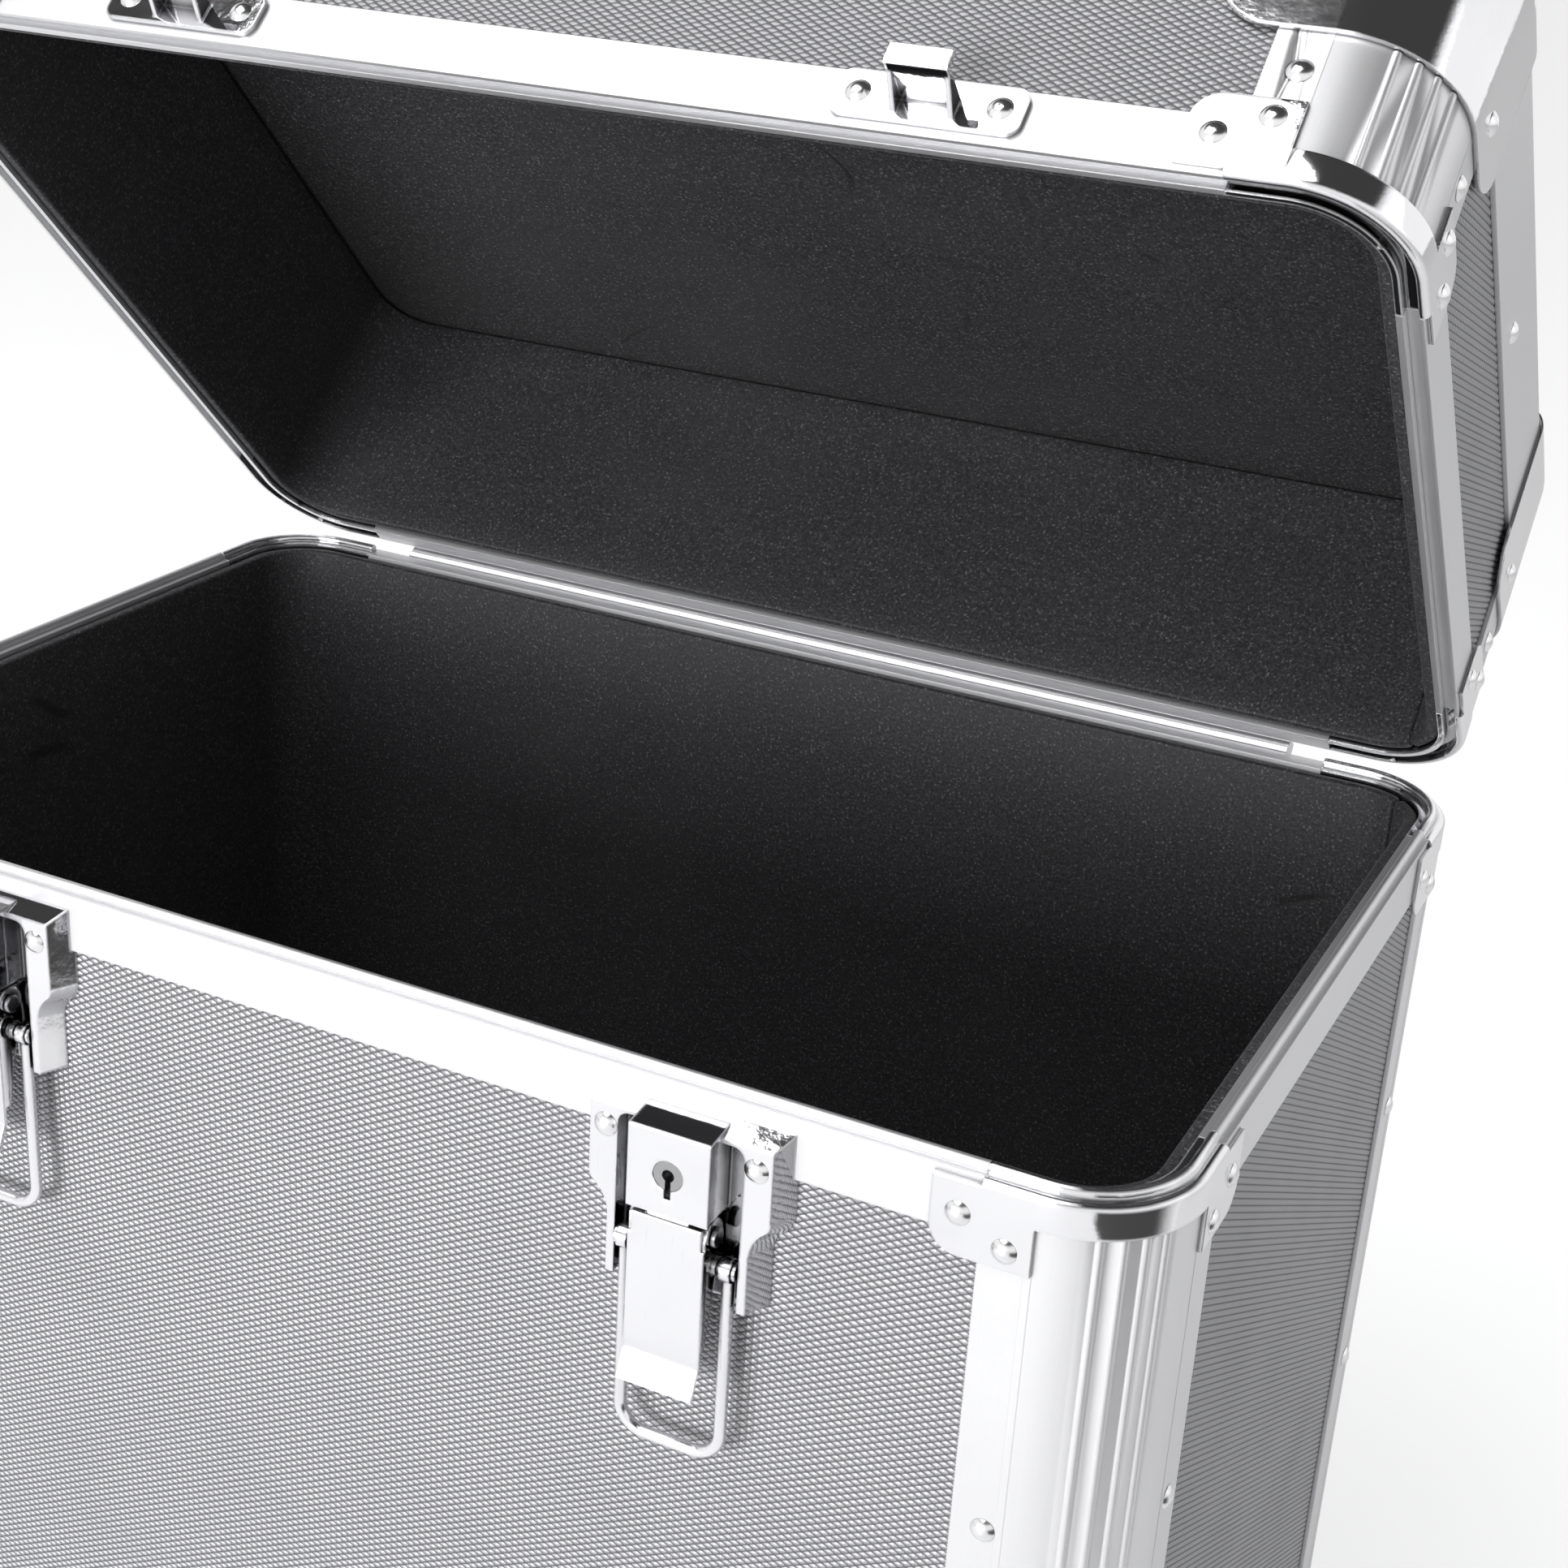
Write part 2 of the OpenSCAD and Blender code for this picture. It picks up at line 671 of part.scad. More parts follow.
// Channels beside the lock box, in which the shut bail's legs lie
module bail_channels() {
  wide = recess_half - box_half + 0.5;
  for (m = [0, 1]) mirror([m, 0, 0])
    translate([box_half - 0.5, -box_bottom - 1, -3]) linear_extrude(20)
      tab_shape(wide, channel_top + box_bottom + 1, 2.5);
}
module latch_plate(side) {
  ear = [5.8, 7];
  wall = recess_half + press_t;
  color("silver") latch_frame(side) difference() {
    union() {
      // Pressed shell with the recess for the lever and channels for the bail
      difference() {
        plate_volume(0);
        plate_volume(press_t);
        both_sides(-1, recess_half, -latch_bottom - 1, -box_bottom, -3, 20);
        bail_channels();
        both_sides(-1, box_half, -box_bottom, -latch_top - 1, -3, 20);
      }
      intersection() {
        plate_volume(0);
        union() {
          both_sides(recess_half, wall, -latch_bottom, -latch_top, -skin_t, 20);
          both_sides(ear[0], wall, -latch_bottom, -box_bottom, 0, press_t);
          both_sides(box_half - 0.5, wall, -box_bottom, -latch_top, 0, press_t);
          both_sides(box_half - 0.5, wall, channel_top, channel_top + press_t, 0, 20);
        }
      }
      // Lock box, open behind and below
      difference() {
        box_volume(0);
        box_volume(0.8);
        both_sides(box_half - 1, box_half + 1, -box_bottom - 1, -box_bottom + 0.7, -3,
          box_rise - 0.8);
      }
      // Sleeve of the lock cylinder
      translate([0, lock_v, 6.6]) cylinder(r = lock_r + 1.2, h = box_rise - 7);
      // Ears for the lever's pin
      for (m = [0, 1]) mirror([m, 0, 0]) translate([(ear[0] + ear[1]) / 2, 0, 0])
        across((ear[1] - ear[0]) / 2) {
          translate(lever_pivot) circle(2.6);
          translate([lever_pivot[0] - 2.6, 0]) square([5.2, lever_pivot[1]]);
        }
      // Bosses behind the rivets
      intersection() {
        for (x = [-1, 1]) translate([x * latch_rivet[0], latch_rivet[1], 0])
          cylinder(r = 2.4, h = latch_rise);
        plate_volume(0);
      }
    }
    translate([-50, -flange_h, -5]) cube([100, 2 * flange_h, 5]);
    translate([0, lock_v, 0]) cylinder(r = lock_r + pin_gap, h = 20);
    translate([-0.7, lock_v - lock_r - 2, 5]) cube([1.4, lock_r + 2, 10]);
    translate([-ear[1] - 1, lever_pivot[0], lever_pivot[1]]) rotate([0, 90, 0])
      cylinder(r = lever_pin_r + pin_gap, h = 2 * ear[1] + 2);
    for (x = [-1, 1]) translate([x * latch_rivet[0], latch_rivet[1], -5])
      cylinder(r = rivet_r + rivet_gap, h = 20);
  }
}
module latch_rivets() {
  color("gainsboro") base_frame() latch_rivet_sites() rivet(latch_rise, skin_t + board_t);
}
module lever_pins() {
  head = lever_half + 0.2;
  color("gray") for (side = [-1, 1]) latch_frame(side)
    translate([0, lever_pivot[0], lever_pivot[1]]) rotate([0, 90, 0]) {
      cylinder(r = lever_pin_r, h = 2 * head + 1, center = true);
      for (m = [0, 1]) mirror([0, 0, m]) translate([0, 0, head]) cylinder(r = 2, h = 0.8);
    }
}
module cheek_section() {
  // Side of the lever, from its pin down past the bail's pivot
  translate(lever_pivot) circle(3.6);
  translate(bail_pivot) circle(2.5);
  polygon([[lever_pivot[0] + 2.6, lever_pivot[1] + 2.4], [lever_pivot[0] + 0.6, lever_face + 0.5],
    [-lever_tip + 10, lever_face + 0.5], [-lever_tip + 10, lever_face - 1.4],
    [bail_pivot[0] - 2.4, bail_pivot[1] - 0.6], [bail_pivot[0], bail_pivot[1] - 2.5],
    [lever_pivot[0], lever_pivot[1] - 3.6]]);
}
module latch_lever(side) {
  cheek_t = 0.9;
  lip = -(lever_tip - 6);
  color("silver") latch_frame(side) difference() {
    union() {
      both_sides(-1, lever_half, lip, lever_pivot[0] - 1.6, lever_face, lever_face + lever_t);
      both_sides(-1, lever_half - 0.65, lever_pivot[0] - 2, -box_bottom - 1.1,
        lever_face, lever_face + lever_t);
      // Turned-out finger lip
      across(lever_half) {
        translate([lip, lever_face]) rotate(155) translate([0, -lever_t]) square([6.6, lever_t]);
        translate([lip, lever_face + lever_t / 2]) circle(lever_t / 2);
      }
      for (m = [0, 1]) mirror([m, 0, 0])
        translate([lever_half - cheek_t / 2, 0, 0]) across(cheek_t / 2) cheek_section();
      // Nose that the lock's cam stops
      across(4.5) polygon([[lever_pivot[0], lever_face + 0.5], [-box_bottom - 1.1, lever_face + 0.5],
        [-box_bottom + 2, lever_face - 0.8], [-box_bottom + 2, lever_face - 1.8],
        [lever_pivot[0] + 0.8, lever_face - 1.4]]);
      // Studs of the bail
      for (m = [0, 1]) mirror([m, 0, 0])
        translate([lever_half - cheek_t, bail_pivot[0], bail_pivot[1]]) rotate([0, 90, 0]) {
          cylinder(r = bail_pin_r, h = bail_half + 1.3 - lever_half + cheek_t);
          cylinder(r = 1.9, h = cheek_t + 0.9);
          translate([0, 0, bail_half + 1.3 - lever_half + cheek_t]) cylinder(r = 1.9, h = 0.6);
        }
    }
    for (m = [0, 1]) mirror([m, 0, 0])
      translate([lever_half - cheek_t - 0.5, lever_pivot[0], lever_pivot[1]])
        rotate([0, 90, 0]) cylinder(r = lever_pin_r + pin_gap, h = cheek_t + 1);
  }
}
module latch_bail(side) {
  bend = 6;
  leg = bail_len - bend;
  color("silver") latch_frame(side) translate([0, bail_pivot[0], bail_pivot[1]]) difference() {
    union() {
      for (m = [0, 1]) mirror([m, 0, 0]) {
        translate([bail_half, -leg, 0]) rotate([-90, 0, 0]) cylinder(r = bail_r, h = leg - 1.6);
        translate([bail_half - bend, -leg, 0]) rotate([0, 0, -90])
          rotate_extrude(angle = 90) translate([bend, 0]) circle(bail_r);
        translate([bail_half - 1.1, 0, 0]) rotate([0, 90, 0]) cylinder(r = 2.5, h = 2.2);
      }
      translate([bend - bail_half, -bail_len, 0]) rotate([0, 90, 0])
        cylinder(r = bail_r, h = 2 * (bail_half - bend));
    }
    translate([-20, 0, 0]) rotate([0, 90, 0]) cylinder(r = bail_pin_r + pin_gap, h = 40);
  }
}
module lock_cylinder(side) {
  cam_reach = box_half - 1.1;
  color("gray") latch_frame(side) translate([0, lock_v, 0]) difference() {
    union() {
      translate([0, 0, 4.7]) cylinder(r = lock_r, h = box_rise - 4.8);
      translate([-cam_reach, -1.8, 4.7]) cube([cam_reach, 3.6, 1.6]);
    }
    translate([0, 0, box_rise - 3]) cylinder(r = 1.3, h = 5);
    translate([-0.6, -lock_r - 1, box_rise - 3]) cube([1.2, lock_r + 1, 5]);
  }
}
module keeper(side) {
  hook = 6.4;
  ledge = keeper_bar[0] - bail_r - 0.3;
  lip = keeper_bar[1] + bail_r + 0.5;
  color("silver") lid_turn() latch_frame(side) difference() {
    union() {
      translate([0, 2.2, 0]) linear_extrude(keeper_t) {
        translate([-16.5, 0]) square([33, 10.8]);
        translate([-19.5, 3]) square([39, 4.8]);
        for (sx = [-1, 1], sy = [3, 7.8]) translate([sx * 16.5, sy]) circle(3);
      }
      across(hook) polygon([[ledge - 1.4, 0.2], [ledge - 1.4, lip + 0.7], [ledge - 0.7, lip + 1.2],
        [ledge + 3, lip + 1.2], [ledge + 3.6, lip + 0.6], [ledge + 3, lip], [ledge, lip],
        [ledge, 0.2]]);
      for (x = [-1, 1]) translate([x * (hook - 0.5), 0, 0]) across(0.5)
        polygon([[ledge - 5, 0.2], [ledge - 1.2, lip - 1], [ledge - 1.2, 0.2]]);
    }
    for (x = [-1, 1]) translate([x * keeper_rivet[0], keeper_rivet[1] + seam_gap, -1])
      cylinder(r = rivet_r + rivet_gap, h = 5);
  }
}

// Carrying handle, folded back on the lid
module handle_frame() {
  lid_turn() translate([0, 0, rim_z + lid_h - skin_t]) children();
}
module bracket_rivet_sites() {
  for (side = [-1, 1], y = [-1, 1]) translate([side * bracket_x, y * bracket_rivet,
    skin_t - lid_shell_h]) rotate([180, 0, 0]) children();
}
module handle_brackets() {
  block = bar_r + 3;
  color("silver") handle_frame() for (side = [-1, 1]) translate([side * bracket_x, 0, 0])
    difference() {
      union() {
        linear_extrude(2) rounded_rect(2 * bracket_half + 4, 37, 5);
        translate([0, 0, pivot_h]) rotate([0, 90, 0])
          cylinder(r = block, h = 2 * bracket_half, center = true);
        translate([-bracket_half, -block, 1]) cube([2 * bracket_half, 2 * block, pivot_h - 1]);
      }
      translate([0, 0, pivot_h]) rotate([0, 90, 0])
        cylinder(r = bar_r + pin_gap, h = 40, center = true);
      for (y = [-1, 1]) translate([0, y * bracket_rivet, -1])
        cylinder(r = rivet_r + rivet_gap, h = 5);
    }
}
module handle_bar() {
  stub = bracket_x + bracket_half + 1 - bar_half - handle_bend;
  color("silver") handle_frame() translate([0, 0, pivot_h]) {
    for (m = [0, 1]) mirror([m, 0, 0]) {
      translate([bar_half + handle_bend, 0, 0]) rotate([0, 90, 0]) cylinder(r = bar_r, h = stub);
      translate([bar_half + handle_bend, handle_bend, 0]) rotate([0, 0, 180])
        rotate_extrude(angle = 90) translate([handle_bend, 0]) circle(bar_r);
      translate([bar_half, handle_bend, 0]) rotate([-90, 0, 0])
        cylinder(r = bar_r, h = handle_reach - 2 * handle_bend);
      translate([bar_half - handle_bend, handle_reach - handle_bend, 0])
        rotate_extrude(angle = 90) translate([handle_bend, 0]) circle(bar_r);
    }
    translate([0, handle_reach, 0]) rotate([0, 90, 0])
      cylinder(r = bar_r, h = 2 * (bar_half - handle_bend), center = true);
  }
}
module handle_grip() {
  half = bar_half - handle_bend - 2;
  bulge = 1.2;
  steps = 10;
  crown = [for (i = [-steps : steps]) let (t = i / steps)
    [grip_r - bulge * t * t, t * (half - 2)]];
  color([0.12, 0.12, 0.13]) handle_frame() translate([0, handle_reach, pivot_h])
    rotate([0, 90, 0]) rotate_extrude() {
      polygon(concat([[bar_r + pin_gap, 2 - half]], crown, [[bar_r + pin_gap, half - 2]]));
      for (m = [0, 1]) mirror([0, m]) {
        translate([bar_r + pin_gap, half - 2.01])
          square([grip_r - bulge - 2 - bar_r - pin_gap, 2.01]);
        translate([grip_r - bulge - 2, half - 2]) circle(2);
      }
    }
}

base_frame() side_panel(0, true, base_h, "darkgray");  // base_front_panel
base_frame() side_panel(1, true, base_h, "darkgray");  // base_right_panel
base_frame() side_panel(2, true, base_h, "darkgray");  // base_back_panel
base_frame() side_panel(3, true, base_h, "darkgray");  // base_left_panel
base_frame() face_panel(true, base_h, "darkgray");  // base_floor_panel
base_frame() post(0, true, base_h);  // base_post_front_right
base_frame() post(1, true, base_h);  // base_post_back_right
base_frame() post(2, true, base_h);  // base_post_back_left
base_frame() post(3, true, base_h);  // base_post_front_left
base_frame() rim_rail(0, true);  // base_rim_front
base_frame() rim_rail(1, true);  // base_rim_right
base_frame() rim_rail(3, true);  // base_rim_left
base_frame() hinge_strip(true);  // base_hinge_strip
base_frame() rim_corner(0, true);  // base_rim_corner_front_right
base_frame() rim_corner(1, true);  // base_rim_corner_back_right
base_frame() rim_corner(2, true);  // base_rim_corner_back_left
base_frame() rim_corner(3, true);  // base_rim_corner_front_left
base_frame() edge_angles(0, base_h);  // base_long_edges
base_frame() edge_angles(1, base_h);  // base_short_edges
base_frame() corner_caps(base_h);  // base_corner_caps
base_frame() wall_lining(base_h);  // base_wall_lining
base_frame() face_lining(base_h);  // base_floor_lining
rubber_feet();
foot_screws();
base_frame() shell_rivets(true, base_h);  // base_rivets
latch_plate(-1);  // latch_plate_left
latch_plate(1);  // latch_plate_right
latch_rivets();
lever_pins();
lid_frame() side_panel(0, false, lid_shell_h, "darkgray");  // lid_front_panel
lid_frame() side_panel(1, false, lid_shell_h, "darkgray");  // lid_right_panel
lid_frame() side_panel(2, false, lid_shell_h, "darkgray");  // lid_back_panel
lid_frame() side_panel(3, false, lid_shell_h, "darkgray");  // lid_left_panel
lid_frame() face_panel(false, lid_shell_h, "darkgray");  // lid_top_panel
lid_frame() for (k = [0 : 3]) post(k, false, lid_shell_h);  // lid_posts
lid_frame() rim_rail(0, false);  // lid_rim_front
lid_frame() rim_rail(1, false);  // lid_rim_right
lid_frame() rim_rail(3, false);  // lid_rim_left
lid_frame() hinge_strip(false);  // lid_hinge_strip
lid_frame() rim_corner(0, false);  // lid_rim_corner_front_right
lid_frame() rim_corner(1, false);  // lid_rim_corner_back_right
lid_frame() rim_corner(2, false);  // lid_rim_corner_back_left
lid_frame() rim_corner(3, false);  // lid_rim_corner_front_left
lid_frame() edge_angles(0, lid_shell_h);  // lid_long_edges
lid_frame() edge_angles(1, lid_shell_h);  // lid_short_edges
lid_frame() corner_caps(lid_shell_h);  // lid_corner_caps
lid_frame() wall_lining(lid_shell_h);  // lid_wall_lining
lid_frame() face_lining(lid_shell_h);  // lid_top_lining
lid_frame() shell_rivets(false, lid_shell_h);  // lid_rivets
keeper(-1);  // keeper_left
keeper(1);  // keeper_right
handle_brackets();
handle_bar();
handle_grip();
latch_lever(-1);  // latch_lever_left
latch_lever(1);  // latch_lever_right
latch_bail(-1);  // latch_bail_left
latch_bail(1);  // latch_bail_right
lock_cylinder(-1);  // lock_cylinder_left
lock_cylinder(1);  // lock_cylinder_right
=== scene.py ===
import json
import math

import bpy
from mathutils import Matrix, Vector


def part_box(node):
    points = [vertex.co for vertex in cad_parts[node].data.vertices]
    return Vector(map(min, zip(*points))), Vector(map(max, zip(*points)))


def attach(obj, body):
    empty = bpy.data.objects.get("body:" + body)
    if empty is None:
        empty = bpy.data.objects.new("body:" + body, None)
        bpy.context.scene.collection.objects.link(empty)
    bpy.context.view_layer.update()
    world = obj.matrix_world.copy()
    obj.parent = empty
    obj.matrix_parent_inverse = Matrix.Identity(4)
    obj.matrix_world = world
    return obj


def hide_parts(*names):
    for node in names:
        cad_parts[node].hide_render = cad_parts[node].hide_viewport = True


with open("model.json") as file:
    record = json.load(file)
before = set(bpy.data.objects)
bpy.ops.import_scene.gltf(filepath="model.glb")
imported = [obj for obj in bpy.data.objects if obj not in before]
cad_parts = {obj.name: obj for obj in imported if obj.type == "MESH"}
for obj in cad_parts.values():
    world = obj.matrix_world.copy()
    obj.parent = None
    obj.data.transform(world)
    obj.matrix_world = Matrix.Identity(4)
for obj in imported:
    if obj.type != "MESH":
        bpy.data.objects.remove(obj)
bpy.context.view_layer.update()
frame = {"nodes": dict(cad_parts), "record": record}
nodes = frame["nodes"]

print("stage: camera and light")

cameraView = {
    "place": (0.2746, -0.4849, 0.5539),
    "turn": 25.123,  # degrees to the left of straight back
    "dip": 23.275,  # degrees below level
    "tilt": 3.503,  # degrees that the frame leans
    "lens": 57.97,
}


def makeCamera():
    data = bpy.data.cameras.new("camera")
    data.lens = cameraView["lens"]
    data.sensor_width = 36
    data.sensor_fit = "HORIZONTAL"
    data.clip_start = 0.01
    camera = bpy.data.objects.new("camera", data)
    bpy.context.scene.collection.objects.link(camera)
    turn, dip, tilt = (math.radians(cameraView[k]) for k in ("turn", "dip", "tilt"))
    look = Matrix.Rotation(turn, 4, "Z") @ Matrix.Rotation(math.pi / 2 - dip, 4, "X")
    look = look @ Matrix.Rotation(tilt, 4, "Z")
    camera.matrix_world = Matrix.Translation(cameraView["place"]) @ look
    bpy.context.scene.camera = camera


makeCamera()
bpy.context.scene.view_settings.view_transform = "Standard"

studio = {
    "floorSize": 14.0,
    "floorColour": (0.86, 0.86, 0.865, 1),
    "floorSeen": 0.62,  # how much whiter the camera sees the floor
    "floorMirrored": 0.3,  # and the metal
    "skyLight": 0.25,
    "ceilingSeen": 0.05,  # what the metal sees straight above, past the white walls
    "wallTop": 0.5,  # height on the unit sphere at which the white walls end
    "flagMiddle": 0.05,
    "flagEdge": 0.9,
    "lampAim": (0, 0, 0.3),
}
lamps = {  # place, size and watts
    "topBox": ((-0.5, -0.7, 1.9), (1.6, 1.2), 19),
    "sideBox": ((1.9, 0.3, 1.2), (1.0, 1.0), 0.8),
    "frontBox": ((-0.6, -2.3, 0.6), (1.5, 0.9), 33),
}


def addLamp(name, place, size, watts):
    data = bpy.data.lights.new(name, "AREA")
    data.shape = "RECTANGLE"
    data.size, data.size_y = size
    data.energy = watts
    lamp = bpy.data.objects.new(name, data)
    bpy.context.scene.collection.objects.link(lamp)
    lamp.location = place
    lamp.rotation_euler = (Vector(studio["lampAim"]) - Vector(place)).to_track_quat("-Z", "Y").to_euler()


def maths(tree, operation, *values):
    node = tree.nodes.new("ShaderNodeMath")
    node.operation = operation
    for i, value in enumerate(values):
        if isinstance(value, (int, float)):
            node.inputs[i].default_value = value
        else:
            tree.links.new(value, node.inputs[i])
    return node.outputs[0]


def fade(tree, value, start, end, low=0.0, high=1.0):
    node = tree.nodes.new("ShaderNodeMapRange")
    node.interpolation_type = "SMOOTHSTEP"
    tree.links.new(value, node.inputs["Value"])
    for title, level in (("From Min", start), ("From Max", end), ("To Min", low), ("To Max", high)):
        node.inputs[title].default_value = level
    return node.outputs["Result"]


def makeWorld():
    world = bpy.data.worlds.new("studioSky")
    bpy.context.scene.world = world
    world.use_nodes = True
    tree = world.node_tree
    sky = tree.nodes["Background"]
    sky.inputs["Color"].default_value = (1, 1, 1, 1)
    direction = tree.nodes.new("ShaderNodeTexCoord")
    split = tree.nodes.new("ShaderNodeSeparateXYZ")
    tree.links.new(direction.outputs["Generated"], split.inputs[0])
    wall = studio["wallTop"]
    mirrored = fade(tree, split.outputs["Z"], wall, wall + 0.15, 1.0, studio["ceilingSeen"])
    path = tree.nodes.new("ShaderNodeLightPath")
    glossy, camera = path.outputs["Is Glossy Ray"], path.outputs["Is Camera Ray"]
    light = studio["skyLight"]
    level = maths(tree, "MULTIPLY_ADD", glossy, maths(tree, "SUBTRACT", mirrored, light), light)
    level = maths(tree, "MULTIPLY_ADD", camera, 1 - light, level)
    tree.links.new(level, sky.inputs["Strength"])


makeWorld()
for name, (place, size, watts) in lamps.items():
    addLamp(name, place, size, watts)


def makeFloor():
    bpy.ops.mesh.primitive_plane_add(size=studio["floorSize"], location=(0, 0, 0))
    floor = bpy.context.object
    floor.name = "studioFloor"
    material = bpy.data.materials.new("paleFloor")
    material.use_nodes = True
    tree = material.node_tree
    shader = tree.nodes["Principled BSDF"]
    shader.inputs["Base Color"].default_value = studio["floorColour"]
    shader.inputs["Roughness"].default_value = 0.9
    shader.inputs["Specular IOR Level"].default_value = 0.1
    path = tree.nodes.new("ShaderNodeLightPath")
    seen = maths(tree, "MULTIPLY", path.outputs["Is Camera Ray"], studio["floorSeen"])
    lift = maths(tree, "MULTIPLY_ADD", path.outputs["Is Glossy Ray"], studio["floorMirrored"], seen)
    shader.inputs["Emission Color"].default_value = (1, 1, 1, 1)
    tree.links.new(lift, shader.inputs["Emission Strength"])
    floor.data.materials.append(material)


makeFloor()


def makeFlag(name, place, turn, size):
    # A grey card, darkest in its middle, that only the metal sees: it gives the chrome its dark bands
    bpy.ops.mesh.primitive_plane_add(size=1, location=place, rotation=turn)
    flag = bpy.context.object
    flag.name = name
    flag.scale = (*size, 1)
    material = bpy.data.materials.new(name + "Cloth")
    material.use_nodes = True
    tree = material.node_tree
    shader = tree.nodes["Principled BSDF"]
    shader.inputs["Base Color"].default_value = (0, 0, 0, 1)
    shader.inputs["Roughness"].default_value = 1.0
    shader.inputs["Emission Color"].default_value = (1, 1, 1, 1)
    where = tree.nodes.new("ShaderNodeTexCoord")
    split = tree.nodes.new("ShaderNodeSeparateXYZ")
    tree.links.new(where.outputs["Object"], split.inputs[0])
    sides = [maths(tree, "ABSOLUTE", split.outputs[axis]) for axis in "XY"]
    edge = fade(tree, maths(tree, "MAXIMUM", *sides), 0.3, 0.5, studio["flagMiddle"], studio["flagEdge"])
    tree.links.new(edge, shader.inputs["Emission Strength"])
    flag.data.materials.append(material)
    flag.visible_camera = False
    flag.visible_diffuse = False
    flag.visible_shadow = False
    flag.visible_transmission = False


makeFlag("rightFlag", (0.46, -0.33, 0.12), (0, math.radians(90), 0), (0.3, 0.66))

print("stage: materials")

lidHinge = Vector((0, 0.1187, 0.312))
lidAngle = math.radians(46)
openLid = Matrix.Translation(lidHinge) @ Matrix.Rotation(-lidAngle, 4, "X") @ Matrix.Translation(-lidHinge)
shutLid = openLid.inverted()


def shutBox(name):
    # Lowest and highest corner of a lid node with the lid shut
    points = [shutLid @ v.co for v in nodes[name].data.vertices]
    return tuple(Vector(pick(p[i] for p in points) for i in range(3)) for pick in (min, max))


def nodeGroup(name, inputs, outputs):
    group = bpy.data.node_groups.new(name, "ShaderNodeTree")
    kinds = {"number": "NodeSocketFloat", "vector": "NodeSocketVector"}
    for title, kind, value in inputs:
        socket = group.interface.new_socket(title, in_out="INPUT", socket_type=kinds[kind])
        if value is not None:
            socket.default_value = value
    for title, kind in outputs:
        group.interface.new_socket(title, in_out="OUTPUT", socket_type=kinds[kind])
    return group, group.nodes.new("NodeGroupInput"), group.nodes.new("NodeGroupOutput")


def useGroup(tree, group, **values):
    node = tree.nodes.new("ShaderNodeGroup")
    node.node_tree = group
    for title, value in values.items():
        if isinstance(value, bpy.types.NodeSocket):
            tree.links.new(value, node.inputs[title])
        else:
            node.inputs[title].default_value = value
    return node.outputs


def noise(tree, vector, scale, detail=2.0, rough=0.5):
    node = tree.nodes.new("ShaderNodeTexNoise")
    node.inputs["Scale"].default_value = scale
    node.inputs["Detail"].default_value = detail
    node.inputs["Roughness"].default_value = rough
    tree.links.new(vector, node.inputs["Vector"])
    return node.outputs["Fac"]


def blend(tree, factor, low, high):
    node = tree.nodes.new("ShaderNodeMix")
    node.data_type = "RGBA"
    for title, value in (("A", low), ("B", high)):
        if isinstance(value, bpy.types.NodeSocket):
            tree.links.new(value, node.inputs[title])
        else:
            node.inputs[title].default_value = (*value, 1)
    tree.links.new(factor, node.inputs["Factor"])
    return node.outputs["Result"]


def bump(tree, height, strength, distance, normal=None):
    node = tree.nodes.new("ShaderNodeBump")
    node.inputs["Strength"].default_value = strength
    node.inputs["Distance"].default_value = distance
    tree.links.new(height, node.inputs["Height"])
    if normal:
        tree.links.new(normal, node.inputs["Normal"])
    return node.outputs["Normal"]


def makeLozengeGroup():
    # Raised lozenges in rows, each row shifted half a lozenge
    group, start, end = nodeGroup(
        "raisedLozenges",
        [("Place", "vector", None), ("Width", "number", 0.003), ("Height", "number", 0.0016)],
        [("Crown", "number"), ("Groove", "number")],
    )
    split = group.nodes.new("ShaderNodeSeparateXYZ")
    group.links.new(start.outputs["Place"], split.inputs[0])
    u = maths(group, "DIVIDE", split.outputs["X"], start.outputs["Width"])
    v = maths(group, "DIVIDE", split.outputs["Y"], start.outputs["Height"])
    waves = []
    for diagonal in (maths(group, "ADD", u, v), maths(group, "SUBTRACT", u, v)):
        wave = maths(group, "COSINE", maths(group, "MULTIPLY", diagonal, 2 * math.pi))
        waves.append(maths(group, "MULTIPLY_ADD", wave, 0.5, 0.5))
    crown = maths(group, "POWER", maths(group, "MULTIPLY", *waves), 0.6)
    group.links.new(crown, end.inputs["Crown"])
    group.links.new(fade(group, crown, 0.0, 0.42, 1.0, 0.0), end.inputs["Groove"])
    return group


def makeSoftEdgeGroup():
    # Rounds the look of sharp edges, and tells where they are
    group, start, end = nodeGroup(
        "softEdges",
        [("Radius", "number", 0.0003)],
        [("Normal", "vector"), ("Edge", "number")],
    )
    rounded = group.nodes.new("ShaderNodeBevel")
    rounded.samples = 4
    group.links.new(start.outputs["Radius"], rounded.inputs["Radius"])
    flat = group.nodes.new("ShaderNodeNewGeometry")
    same = group.nodes.new("ShaderNodeVectorMath")
    same.operation = "DOT_PRODUCT"
    group.links.new(rounded.outputs["Normal"], same.inputs[0])
    group.links.new(flat.outputs["Normal"], same.inputs[1])
    group.links.new(rounded.outputs["Normal"], end.inputs["Normal"])
    group.links.new(fade(group, same.outputs["Value"], 0.7, 0.98, 1.0, 0.0), end.inputs["Edge"])
    return group


def makeCavityGroup():
    # Where a surface is hemmed in by others, as in corners, gaps and presswork: an occlusion mask that the
    # metals use for painted shade
    group, start, end = nodeGroup("cavities", [("Reach", "number", 0.004)], [("Cavity", "number")])
    openness = group.nodes.new("ShaderNodeAmbientOcclusion")
    openness.samples = 6
    group.links.new(start.outputs["Reach"], openness.inputs["Distance"])
    group.links.new(fade(group, openness.outputs["AO"], 0.3, 0.85, 1.0, 0.0), end.inputs["Cavity"])
    return group


